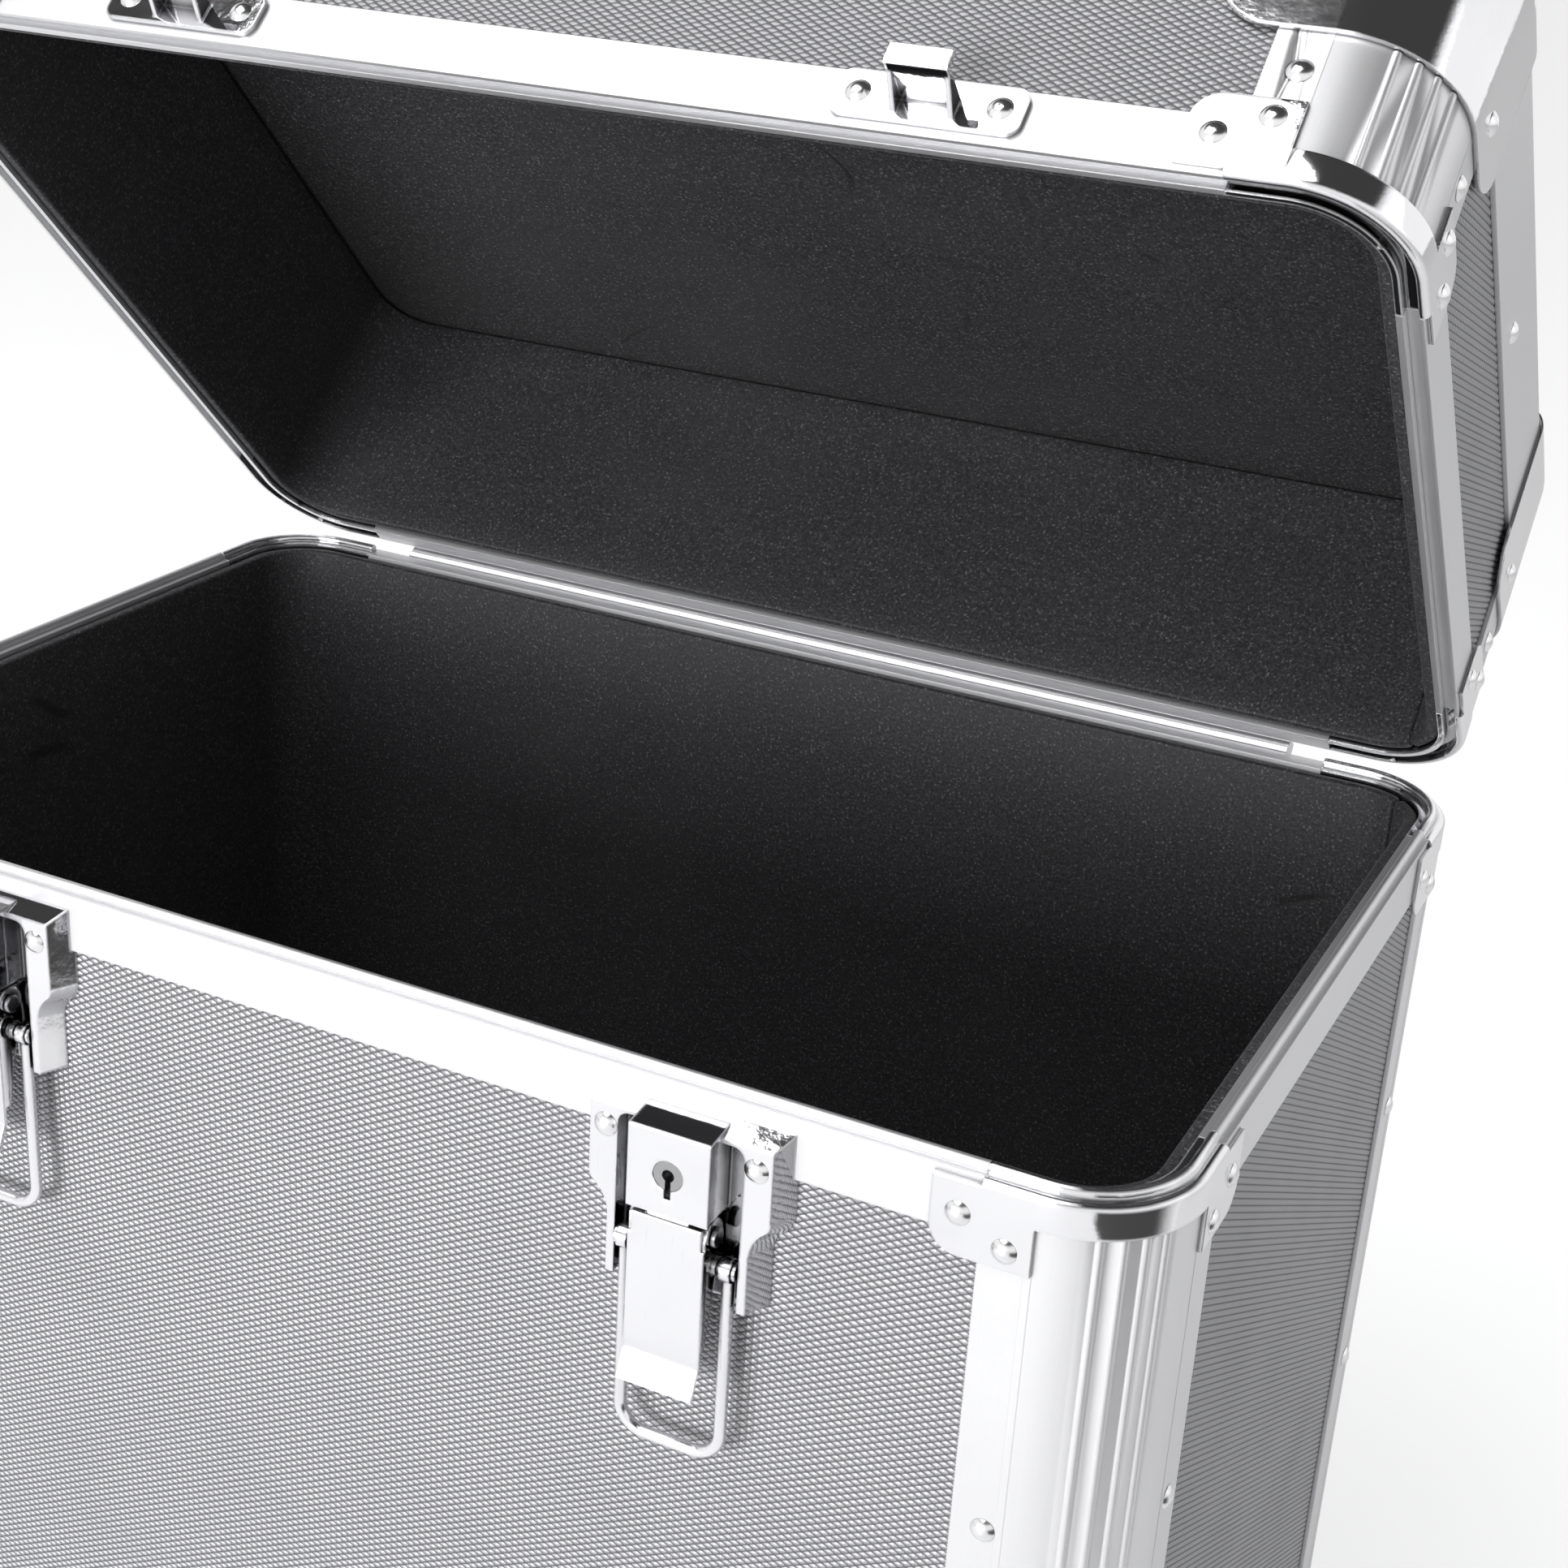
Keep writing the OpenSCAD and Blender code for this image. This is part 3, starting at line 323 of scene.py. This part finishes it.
def makeHandlingGroup():
    # Smudges, fine scratches and pits of metal that is handled
    group, start, end = nodeGroup(
        "handling",
        [("Place", "vector", None), ("Smudge Size", "number", 0.03), ("Scratch Width", "number", 0.0004)],
        [("Smudge", "number"), ("Scratch", "number")],
    )
    soft = group.nodes.new("ShaderNodeTexNoise")
    soft.inputs["Detail"].default_value = 5
    group.links.new(start.outputs["Place"], soft.inputs["Vector"])
    group.links.new(maths(group, "DIVIDE", 1.0, start.outputs["Smudge Size"]), soft.inputs["Scale"])
    group.links.new(fade(group, soft.outputs["Fac"], 0.38, 0.72), end.inputs["Smudge"])
    line = group.nodes.new("ShaderNodeTexNoise")
    line.inputs["Detail"].default_value = 1
    long = group.nodes.new("ShaderNodeMapping")
    long.inputs["Rotation"].default_value = (0.5, 0.9, 0.4)
    long.inputs["Scale"].default_value = (1, 1, 0.03)
    group.links.new(start.outputs["Place"], long.inputs["Vector"])
    group.links.new(long.outputs["Vector"], line.inputs["Vector"])
    group.links.new(maths(group, "DIVIDE", 1.0, start.outputs["Scratch Width"]), line.inputs["Scale"])
    group.links.new(fade(group, line.outputs["Fac"], 0.72, 0.8), end.inputs["Scratch"])
    return group


lozenges = makeLozengeGroup()
softEdges = makeSoftEdgeGroup()
cavities = makeCavityGroup()
handling = makeHandlingGroup()


def newMaterial(name, colour, metallic, roughness):
    material = bpy.data.materials.new(name)
    material.use_nodes = True
    shader = material.node_tree.nodes["Principled BSDF"]
    shader.inputs["Base Color"].default_value = (*colour, 1)
    shader.inputs["Metallic"].default_value = metallic
    shader.inputs["Roughness"].default_value = roughness
    return material, material.node_tree, shader


def objectPlace(tree):
    where = tree.nodes.new("ShaderNodeTexCoord")
    return where.outputs["Object"]


def dimmed(colour, share):
    return tuple(c * share for c in colour)


laminate = {
    "lozengeWidth": 0.00298,
    "lozengeHeight": 0.001645,
    "crownColour": (0.49, 0.49, 0.505),
    # painted shade in the grooves between the lozenges
    "grooveColour": (0.14, 0.14, 0.15),
    "metallic": 0.45,
    "roughness": 0.32,
    "pillow": 0.00012,
    "patchScale": 30,
    "patchShade": 0.92,
}


def boardPlace(tree, middle, lay, onLid):
    # Object coordinates laid flat on a board: X across it, Y up it, from its middle
    place = objectPlace(tree)
    lay = lay @ Matrix.Translation(-middle)
    if onLid:
        lay = lay @ shutLid
    node = tree.nodes.new("ShaderNodeMapping")
    node.inputs["Rotation"].default_value = lay.to_euler("XYZ")
    node.inputs["Location"].default_value = lay.translation
    tree.links.new(place, node.inputs["Vector"])
    return node.outputs["Vector"]


def makeBoardMaterial(name, middle, lay, onLid):
    top, roughness = laminate["crownColour"], laminate["roughness"]
    material, tree, shader = newMaterial(name, top, laminate["metallic"], roughness)
    place = boardPlace(tree, middle, lay, onLid)
    cell = {"Width": laminate["lozengeWidth"], "Height": laminate["lozengeHeight"]}
    emboss = useGroup(tree, lozenges, Place=place, **cell)
    wear = useGroup(tree, handling, Place=place)
    patches = noise(tree, place, laminate["patchScale"], 3)
    crown = blend(tree, patches, top, dimmed(top, laminate["patchShade"]))
    # The grooves between the lozenges are darkened with painted shade
    colour = blend(tree, emboss["Groove"], crown, laminate["grooveColour"])
    tree.links.new(colour, shader.inputs["Base Color"])
    rough = maths(tree, "MULTIPLY_ADD", wear["Smudge"], 0.08, roughness)
    tree.links.new(maths(tree, "MULTIPLY_ADD", emboss["Groove"], 0.25, rough), shader.inputs["Roughness"])
    tree.links.new(bump(tree, emboss["Crown"], 1.0, laminate["pillow"]), shader.inputs["Normal"])
    return material


satin = {
    "colour": (0.83, 0.83, 0.845),
    "metallic": 0.75,
    "dull": (0.79, 0.79, 0.805),
    # painted shade in gaps, channels and inner corners
    "gap": (0.4, 0.4, 0.41),
    "gapReach": 0.0014,
    "roughness": 0.38,
    "lineWidth": 0.00025,
    "lineLength": 0.03,
    "edge": 0.00035,
    # painted highlight along the sharp edges
    "rubbedEdge": (0.86, 0.86, 0.87),
}


def makeAluminium(name, along, onLid):
    # Extruded sections, anodised satin: faint lines run along the section
    material, tree, shader = newMaterial(name, satin["colour"], satin["metallic"], satin["roughness"])
    stretch = tree.nodes.new("ShaderNodeMapping")
    across, length = 1 / satin["lineWidth"], 1 / satin["lineLength"]
    stretch.inputs["Scale"].default_value = [length if axis == along else across for axis in range(3)]
    place = objectPlace(tree)
    if onLid:
        turn = tree.nodes.new("ShaderNodeMapping")
        turn.inputs["Rotation"].default_value = (lidAngle, 0, 0)
        tree.links.new(place, turn.inputs["Vector"])
        tree.links.new(turn.outputs["Vector"], stretch.inputs["Vector"])
    else:
        tree.links.new(place, stretch.inputs["Vector"])
    lines = noise(tree, stretch.outputs["Vector"], 1.0, 3, 0.6)
    wear = useGroup(tree, handling, **{"Place": place, "Smudge Size": 0.05})
    edges = useGroup(tree, softEdges, Radius=satin["edge"])
    colour = blend(tree, lines, satin["colour"], satin["dull"])
    # Edges are lightened with a painted highlight, where rounded edges would catch the light
    colour = blend(tree, edges["Edge"], colour, satin["rubbedEdge"])
    # Gaps, channels and inner corners are darkened with painted shade from the occlusion mask
    colour = blend(tree, useGroup(tree, cavities, Reach=satin["gapReach"])["Cavity"], colour, satin["gap"])
    tree.links.new(colour, shader.inputs["Base Color"])
    rough = maths(tree, "MULTIPLY_ADD", lines, 0.12, satin["roughness"] - 0.06)
    rough = maths(tree, "MULTIPLY_ADD", wear["Smudge"], 0.06, rough)
    tree.links.new(rough, shader.inputs["Roughness"])
    tree.links.new(bump(tree, lines, 0.12, 0.00006, edges["Normal"]), shader.inputs["Normal"])
    return material


plating = {
    "smudgeShade": 0.93,
    "scratchShade": 0.9,
    # painted shade in hollows, gaps and presswork
    "cavityShade": 0.12,
    "rippleScale": 300,
    "rippleDepth": 0.0002,
}


def makePolished(name, colour, roughness, ripple, edge=0.0008, reach=0.006):
    material, tree, shader = newMaterial(name, colour, 1.0, roughness)
    place = objectPlace(tree)
    wear = useGroup(tree, handling, Place=place)
    edges = useGroup(tree, softEdges, Radius=edge)
    shade = blend(tree, wear["Smudge"], colour, dimmed(colour, plating["smudgeShade"]))
    shade = blend(tree, wear["Scratch"], shade, dimmed(colour, plating["scratchShade"]))
    # Hollows and gaps are darkened almost to black with painted shade
    cavity = useGroup(tree, cavities, Reach=reach)["Cavity"]
    shade = blend(tree, cavity, shade, dimmed(colour, plating["cavityShade"]))
    tree.links.new(shade, shader.inputs["Base Color"])
    rough = maths(tree, "MULTIPLY_ADD", wear["Smudge"], 0.06, roughness)
    rough = maths(tree, "MULTIPLY_ADD", wear["Scratch"], 0.08, rough)
    tree.links.new(rough, shader.inputs["Roughness"])
    # Thin plating on pressed steel is never quite flat
    ripples = noise(tree, place, plating["rippleScale"], 3)
    normal = bump(tree, ripples, ripple, plating["rippleDepth"], edges["Normal"])
    tree.links.new(normal, shader.inputs["Normal"])
    return material


foam = {
    "colour": (0.016, 0.016, 0.018),
    "light": (0.062, 0.062, 0.068),
    # painted glints on the foam's cells
    "speck": (0.26, 0.26, 0.27),
    "rubbed": (0.062, 0.062, 0.066),
    # painted shade in the creases
    "crease": (0.008, 0.008, 0.009),
    "cell": 0.0008,
    "roughness": 0.6,
    "cloudScale": 9,
    "markScale": 38,
    "creaseScale": 13,
    "creasedScale": 21,  # of the places that have creases
    "grainDepth": 0.00018,
}


def makeFoam():
    material, tree, shader = newMaterial("blackFoam", foam["colour"], 0.0, foam["roughness"])
    place = objectPlace(tree)
    grain = noise(tree, place, 1 / foam["cell"], 3, 0.7)
    # Fine bright specks on the cells are painted glints, highlights put into the colour
    cells = tree.nodes.new("ShaderNodeTexVoronoi")
    cells.inputs["Scale"].default_value = 1 / foam["cell"]
    tree.links.new(place, cells.inputs["Vector"])
    near = fade(tree, cells.outputs["Distance"], 0.1, 0.5, 1.0, 0.0)
    paintedGlints = maths(tree, "MULTIPLY", near, fade(tree, grain, 0.5, 0.62))
    colour = blend(tree, fade(tree, grain, 0.35, 0.65), foam["colour"], foam["light"])
    clouds = fade(tree, noise(tree, place, foam["cloudScale"], 5, 0.6), 0.42, 0.78, 0.0, 0.6)
    marks = fade(tree, noise(tree, place, foam["markScale"], 4, 0.55), 0.68, 0.76, 0.0, 0.7)
    colour = blend(tree, maths(tree, "MAXIMUM", clouds, marks), colour, foam["rubbed"])
    # Thin bent creases, where something has pressed on it: dented by the bump and darkened with painted
    # shade
    bands = noise(tree, place, foam["creaseScale"], 1, 0.4)
    line = maths(tree, "ABSOLUTE", maths(tree, "SUBTRACT", bands, 0.5))
    where = fade(tree, noise(tree, place, foam["creasedScale"], 2, 0.5), 0.6, 0.66)
    crease = maths(tree, "MULTIPLY", fade(tree, line, 0.001, 0.006, 0.8, 0.0), where)
    colour = blend(tree, paintedGlints, colour, foam["speck"])
    colour = blend(tree, crease, colour, foam["crease"])
    tree.links.new(colour, shader.inputs["Base Color"])
    rough = maths(tree, "MULTIPLY_ADD", grain, 0.3, foam["roughness"] - 0.15)
    tree.links.new(rough, shader.inputs["Roughness"])
    shader.inputs["Sheen Weight"].default_value = 0.12
    shader.inputs["Sheen Roughness"].default_value = 0.4
    height = maths(tree, "MULTIPLY_ADD", crease, -1.5, grain)
    tree.links.new(bump(tree, height, 0.45, foam["grainDepth"]), shader.inputs["Normal"])
    return material


def makeMoulded(name, colour, roughness, grainSize, depth):
    # Black rubber or plastic with a moulded grain
    material, tree, shader = newMaterial(name, colour, 0.0, roughness)
    place = objectPlace(tree)
    grain = noise(tree, place, 1 / grainSize, 2, 0.5)
    dust = fade(tree, noise(tree, place, 60, 5, 0.6), 0.5, 0.85)
    tree.links.new(blend(tree, dust, colour, dimmed(colour, 2.2)), shader.inputs["Base Color"])
    tree.links.new(maths(tree, "MULTIPLY_ADD", grain, 0.2, roughness - 0.1), shader.inputs["Roughness"])
    tree.links.new(bump(tree, grain, 0.5, depth), shader.inputs["Normal"])
    return material


chromeColour = (0.88, 0.88, 0.9)
finishes = {
    "chrome": makePolished("chromePlate", chromeColour, 0.045, 0.16),
    "rivet": makePolished("rivetChrome", (0.86, 0.86, 0.87), 0.2, 0.05, 0.0002, 0.0015),
    "steel": makePolished("zincSteel", (0.6, 0.6, 0.63), 0.24, 0.2),
    "lock": makePolished("nickelLock", (0.4, 0.4, 0.41), 0.2, 0.1, 0.0002, 0.002),
    "foam": makeFoam(),
    "rubber": makeMoulded("feetRubber", (0.022, 0.022, 0.023), 0.7, 0.0012, 0.0003),
    "grip": makeMoulded("gripPlastic", (0.02, 0.02, 0.021), 0.45, 0.0008, 0.0002),
}
satinBars = {}
for axis in range(3):
    for onLid in (False, True):
        title = "satin" + "XYZ"[axis] + ("Lid" if onLid else "Base")
        satinBars[axis, onLid] = makeAluminium(title, axis, onLid)


def runAxis(name):
    # Which way a section runs: 0 across the case, 1 front to back, 2 up
    words = set(name.split("_"))
    if words & {"post", "posts"}:
        return 2
    return 1 if words & {"left", "right", "short"} else 0


slotOf = {p["node"]: p["material_slot"] for p in frame["record"]["subparts"]}
for name, node in nodes.items():
    if slotOf[name] == "aluminium":
        material = satinBars[runAxis(name), name.startswith("lid_")]
    elif slotOf[name] == "board":
        continue
    else:
        material = finishes[slotOf[name]]
    node.data.materials.clear()
    node.data.materials.append(material)

print("stage: embossed boards")


def activate(piece):
    bpy.ops.object.select_all(action="DESELECT")
    piece.select_set(True)
    bpy.context.view_layer.objects.active = piece


def pickVerts(piece, test):
    # Leaves edit mode with just the vertices that pass the test selected
    bpy.ops.mesh.select_all(action="DESELECT")
    bpy.ops.object.mode_set(mode="OBJECT")
    for vert in piece.data.vertices:
        vert.select = test(vert.co)
    bpy.ops.object.mode_set(mode="EDIT")


def pickEdges(piece, test):
    bpy.ops.mesh.select_mode(type="EDGE")
    bpy.ops.mesh.select_all(action="DESELECT")
    bpy.ops.object.mode_set(mode="OBJECT")
    points = piece.data.vertices
    for edge in piece.data.edges:
        edge.select = test(points[edge.vertices[0]].co, points[edge.vertices[1]].co)
    bpy.ops.object.mode_set(mode="EDIT")


def pickFaces(piece, test):
    bpy.ops.mesh.select_mode(type="FACE")
    bpy.ops.mesh.select_all(action="DESELECT")
    bpy.ops.object.mode_set(mode="OBJECT")
    for face in piece.data.polygons:
        face.select = test(face)
    bpy.ops.object.mode_set(mode="EDIT")


def useModifier(piece, kind, **values):
    activate(piece)
    modifier = piece.modifiers.new("step", kind)
    for key, value in values.items():
        setattr(modifier, key, value)
    bpy.ops.object.modifier_apply(modifier=modifier.name)


def upright(a, b):
    return (a - b).length > 1e-5 and abs(a.x - b.x) + abs(a.y - b.y) < 1e-5


def swingToLid(piece):
    # A lid piece is made with the lid shut, then turned with it to where it stands open
    piece.data.transform(openLid)


def finishPiece(piece, name, body, slot, material, *replaced):
    piece.name = name
    piece.data.materials.clear()
    piece.data.materials.append(material)
    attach(piece, body)
    if replaced:
        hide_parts(*replaced)


embossedBoard = {
    "relief": 0.00018,
    "thickness": 0.0029,
    "cornerCut": 0.0075,  # taken off the corners of the top and the floor
    "lift": 0.00005,
}


def cutAway(piece, point, normal):
    bpy.ops.mesh.select_all(action="SELECT")
    bpy.ops.mesh.bisect(plane_co=point, plane_no=normal, clear_outer=True)


def makeEmbossedSheet(width, height, corners):
    # Lies in the XY plane, face up, with its lozenges' long way along X
    acrossCell, upCell = laminate["lozengeWidth"], laminate["lozengeHeight"]
    cells = 2 * math.ceil((width / acrossCell + height / upCell) / 2 + 1)
    bpy.ops.object.select_all(action="DESELECT")
    bpy.ops.mesh.primitive_grid_add(x_subdivisions=cells, y_subdivisions=cells, size=cells / math.sqrt(2))
    sheet = bpy.context.object
    sheet.rotation_euler.z = math.radians(45)
    bpy.ops.object.transform_apply(rotation=True)
    sheet.scale = (acrossCell, upCell, 1)
    bpy.ops.object.transform_apply(scale=True)
    bpy.ops.object.mode_set(mode="EDIT")
    for side in (1, -1):
        cutAway(sheet, (side * width / 2, 0, 0), (side, 0, 0))
        cutAway(sheet, (0, side * height / 2, 0), (0, side, 0))
        if corners:
            for other in (1, -1):
                cut = embossedBoard["cornerCut"]
                cutAway(sheet, (side * (width / 2 - cut), other * height / 2, 0), (side, other, 0))
    bpy.ops.mesh.select_mode(type="FACE")
    bpy.ops.mesh.select_all(action="SELECT")
    bpy.ops.mesh.poke(offset=embossedBoard["relief"])
    bpy.ops.mesh.select_mode(type="EDGE")
    bpy.ops.mesh.select_all(action="DESELECT")
    bpy.ops.mesh.select_non_manifold()
    bpy.ops.mesh.extrude_edges_move(TRANSFORM_OT_translate={"value": (0, 0, -embossedBoard["thickness"])})
    bpy.ops.mesh.edge_face_add()
    bpy.ops.mesh.select_all(action="SELECT")
    bpy.ops.mesh.normals_make_consistent(inside=False)
    bpy.ops.object.mode_set(mode="OBJECT")
    return sheet


def placeBoard(name):
    half, side = name.split("_")[:2]
    low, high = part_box(name) if half == "base" else shutBox(name)
    middle, size = (low + high) / 2, high - low
    corners = side in ("top", "floor")
    across = size.y if side in ("left", "right") else size.x
    up = size.y if corners else size.z
    sheet = makeEmbossedSheet(across, up, corners)
    if corners:
        stand = Matrix.Rotation(0 if side == "top" else math.pi, 4, "X")
    else:
        quarter = ("front", "right", "back", "left").index(side)
        stand = Matrix.Rotation(quarter * math.pi / 2, 4, "Z") @ Matrix.Rotation(math.pi / 2, 4, "X")
    outward = stand @ Vector((0, 0, 1))
    reach = abs(size.dot(outward)) / 2 - embossedBoard["relief"] + embossedBoard["lift"]
    sheet.data.transform(Matrix.Translation(middle + outward * reach) @ stand)
    if half == "lid":
        swingToLid(sheet)
    # The pattern's crowns stand half a lozenge beside the sheet's middle
    crownShift = stand @ Vector((laminate["lozengeWidth"] / 2, 0, 0))
    title = half + side.capitalize()
    material = makeBoardMaterial(title + "Laminate", middle + crownShift, stand.inverted(), half == "lid")
    finishPiece(sheet, title + "Board", half, "board", material, name)


for name in [n for n in nodes if slotOf[n] == "board"]:
    placeBoard(name)

print("stage: chrome bands")

chromeBand = {
    "rim": 0.312,
    "lidRim": 0.3123,
    "cadHeight": 0.012,
    "height": 0.0072,
    "ribGap": 0.0002,
    "bendFrom": (0.1562, 0.0912),  # where the corners start to bend, from the middle of the case
}


def copyNode(name, title):
    # A copy to reshape, its loose triangles joined, with the lid shut
    piece = bpy.data.objects.new(title, nodes[name].data.copy())
    bpy.context.scene.collection.objects.link(piece)
    activate(piece)
    if name.startswith("lid"):
        piece.data.transform(shutLid)
    bpy.ops.object.mode_set(mode="EDIT")
    bpy.ops.mesh.select_mode(type="VERT")
    bpy.ops.mesh.select_all(action="SELECT")
    bpy.ops.mesh.remove_doubles(threshold=1e-6)
    bpy.ops.object.mode_set(mode="OBJECT")
    return piece


def shortenBand(name):
    # The band round a corner is narrower than its tabs are high, and the ribs run up to it
    half, kind = name.split("_")[:2]
    title = half + "".join(word.capitalize() for word in name.split("_")[1:]) + "Trim"
    piece = copyNode(name, title)
    lower = chromeBand["cadHeight"] + (0 if kind == "rim" else chromeBand["ribGap"])
    level = chromeBand["rim"] - lower if half == "base" else chromeBand["lidRim"] + lower
    rise = (chromeBand["cadHeight"] - chromeBand["height"]) * (1 if half == "base" else -1)
    bpy.ops.object.mode_set(mode="EDIT")
    bendX, bendY = chromeBand["bendFrom"]
    pickVerts(piece, lambda co: abs(co.z - level) < 5e-5 and abs(co.x) > bendX and abs(co.y) > bendY)
    bpy.ops.transform.translate(value=(0, 0, rise))
    bpy.ops.object.mode_set(mode="OBJECT")
    if half == "lid":
        swingToLid(piece)
    finishPiece(piece, title, half, slotOf[name], nodes[name].data.materials[0], name)


for name in [n for n in nodes if "_rim_corner_" in n or "_post" in n]:
    shortenBand(name)

print("stage: foam lining")

wallStrip = {
    "halfWidth": 0.1745,
    "halfDepth": 0.1095,
    "cornerRadius": 0.0182,
    "thickness": 0.003,
    "edgeRound": 0.0009,
    "joint": 0.0005,  # half the gap where the strip's ends meet
    "seam": 0.0007,  # gap between the strip and the lid's pad
    "cove": 0.0011,  # how far the strip bulges where it meets the pad
    "cuts": 9,  # between its lower and upper edge
    "jointTurn": 50.6,  # degrees round the back right corner to where its ends meet
    "cornerReach": 0.018,
    "lidEdge": 0.0015,  # from the lid's rim to the strip
    "lidPad": 0.0716,  # from the lid's rim to the pad
    "padThickness": 0.0028,
    "padInset": 0.0004,
}


def makeWallStrip(low, high, padAtTop):
    w, d = wallStrip["halfWidth"], wallStrip["halfDepth"]
    bpy.ops.object.select_all(action="DESELECT")
    size = (2 * w, 2 * d, high - low)
    bpy.ops.mesh.primitive_cube_add(size=1, location=(0, 0, (low + high) / 2), scale=size)
    strip = bpy.context.object
    bpy.ops.object.transform_apply(location=True, rotation=True, scale=True)
    bpy.ops.object.mode_set(mode="EDIT")
    pickFaces(strip, lambda f: abs(f.normal.z) > 0.9)
    bpy.ops.mesh.delete(type="ONLY_FACE")
    pickEdges(strip, upright)
    bpy.ops.mesh.bevel(offset=wallStrip["cornerRadius"], segments=16, affect="EDGES")
    jointX = w - wallStrip["cornerRadius"] * (1 - math.cos(math.radians(wallStrip["jointTurn"])))
    pickEdges(strip, upright)
    bpy.ops.mesh.subdivide(number_cuts=wallStrip["cuts"])
    # The strip's ends meet on the back right corner
    points = [v.co for v in strip.data.vertices]
    onCorner = sorted({round(p.x, 5) for p in points if p.y > 0 and p.x > w - wallStrip["cornerReach"]})
    ends = min(onCorner, key=lambda x: abs(x - jointX))
    pickEdges(strip, lambda a, b: upright(a, b) and a.y > 0 and abs(a.x - ends) < 2e-5)
    bpy.ops.mesh.bevel(offset=wallStrip["joint"], segments=1, affect="EDGES")
    bpy.ops.mesh.select_mode(type="FACE")
    bpy.ops.mesh.delete(type="FACE")
    bpy.ops.mesh.select_mode(type="VERT")
    bpy.ops.mesh.select_all(action="SELECT")
    bpy.ops.mesh.normals_make_consistent(inside=True)
    step = (high - low) / (wallStrip["cuts"] + 1)
    meet = high if padAtTop else low
    for reach, share in ((0.4, 0.6), (1.3, 0.4)):
        pickVerts(strip, lambda co: abs(co.z - meet) < reach * step)
        bpy.ops.transform.shrink_fatten(value=wallStrip["cove"] * share)
    bpy.ops.object.mode_set(mode="OBJECT")
    useModifier(strip, "SOLIDIFY", thickness=wallStrip["thickness"], offset=1.0)
    return strip


def softenFoam(piece, width):
    useModifier(piece, "BEVEL", width=width, segments=3, limit_method="ANGLE", angle_limit=math.radians(50))
    activate(piece)
    bpy.ops.object.shade_smooth_by_angle(angle=math.radians(40))


def makePad(level, thickness, top):
    w, d = (wallStrip[side] - wallStrip["padInset"] for side in ("halfWidth", "halfDepth"))
    bpy.ops.object.select_all(action="DESELECT")
    middle = level + (thickness / 2 if top else -thickness / 2)
    bpy.ops.mesh.primitive_cube_add(size=1, location=(0, 0, middle), scale=(2 * w, 2 * d, thickness))
    pad = bpy.context.object
    bpy.ops.object.transform_apply(location=True, rotation=True, scale=True)
    bpy.ops.object.mode_set(mode="EDIT")
    pickEdges(pad, upright)
    bpy.ops.mesh.bevel(offset=wallStrip["cornerRadius"], segments=10, affect="EDGES")
    bpy.ops.object.mode_set(mode="OBJECT")
    return pad


def makeLinings():
    baseWall, basePad = (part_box(n) for n in ("base_wall_lining", "base_floor_lining"))
    strip = makeWallStrip(basePad[1].z, baseWall[1].z, False)
    softenFoam(strip, wallStrip["edgeRound"])
    finishPiece(strip, "baseWallFoam", "base", "foam", finishes["foam"], "base_wall_lining")
    pad = makePad(basePad[1].z, wallStrip["padThickness"], False)
    softenFoam(pad, wallStrip["edgeRound"])
    finishPiece(pad, "baseFloorFoam", "base", "foam", finishes["foam"], "base_floor_lining")
    lidEdge, lidPad = (chromeBand["rim"] + wallStrip[level] for level in ("lidEdge", "lidPad"))
    strip = makeWallStrip(lidEdge, lidPad - wallStrip["seam"], True)
    softenFoam(strip, wallStrip["edgeRound"])
    swingToLid(strip)
    finishPiece(strip, "lidWallFoam", "lid", "foam", finishes["foam"], "lid_wall_lining")
    pad = makePad(lidPad, wallStrip["padThickness"], True)
    softenFoam(pad, wallStrip["edgeRound"])
    swingToLid(pad)
    finishPiece(pad, "lidTopFoam", "lid", "foam", finishes["foam"], "lid_top_lining")


makeLinings()
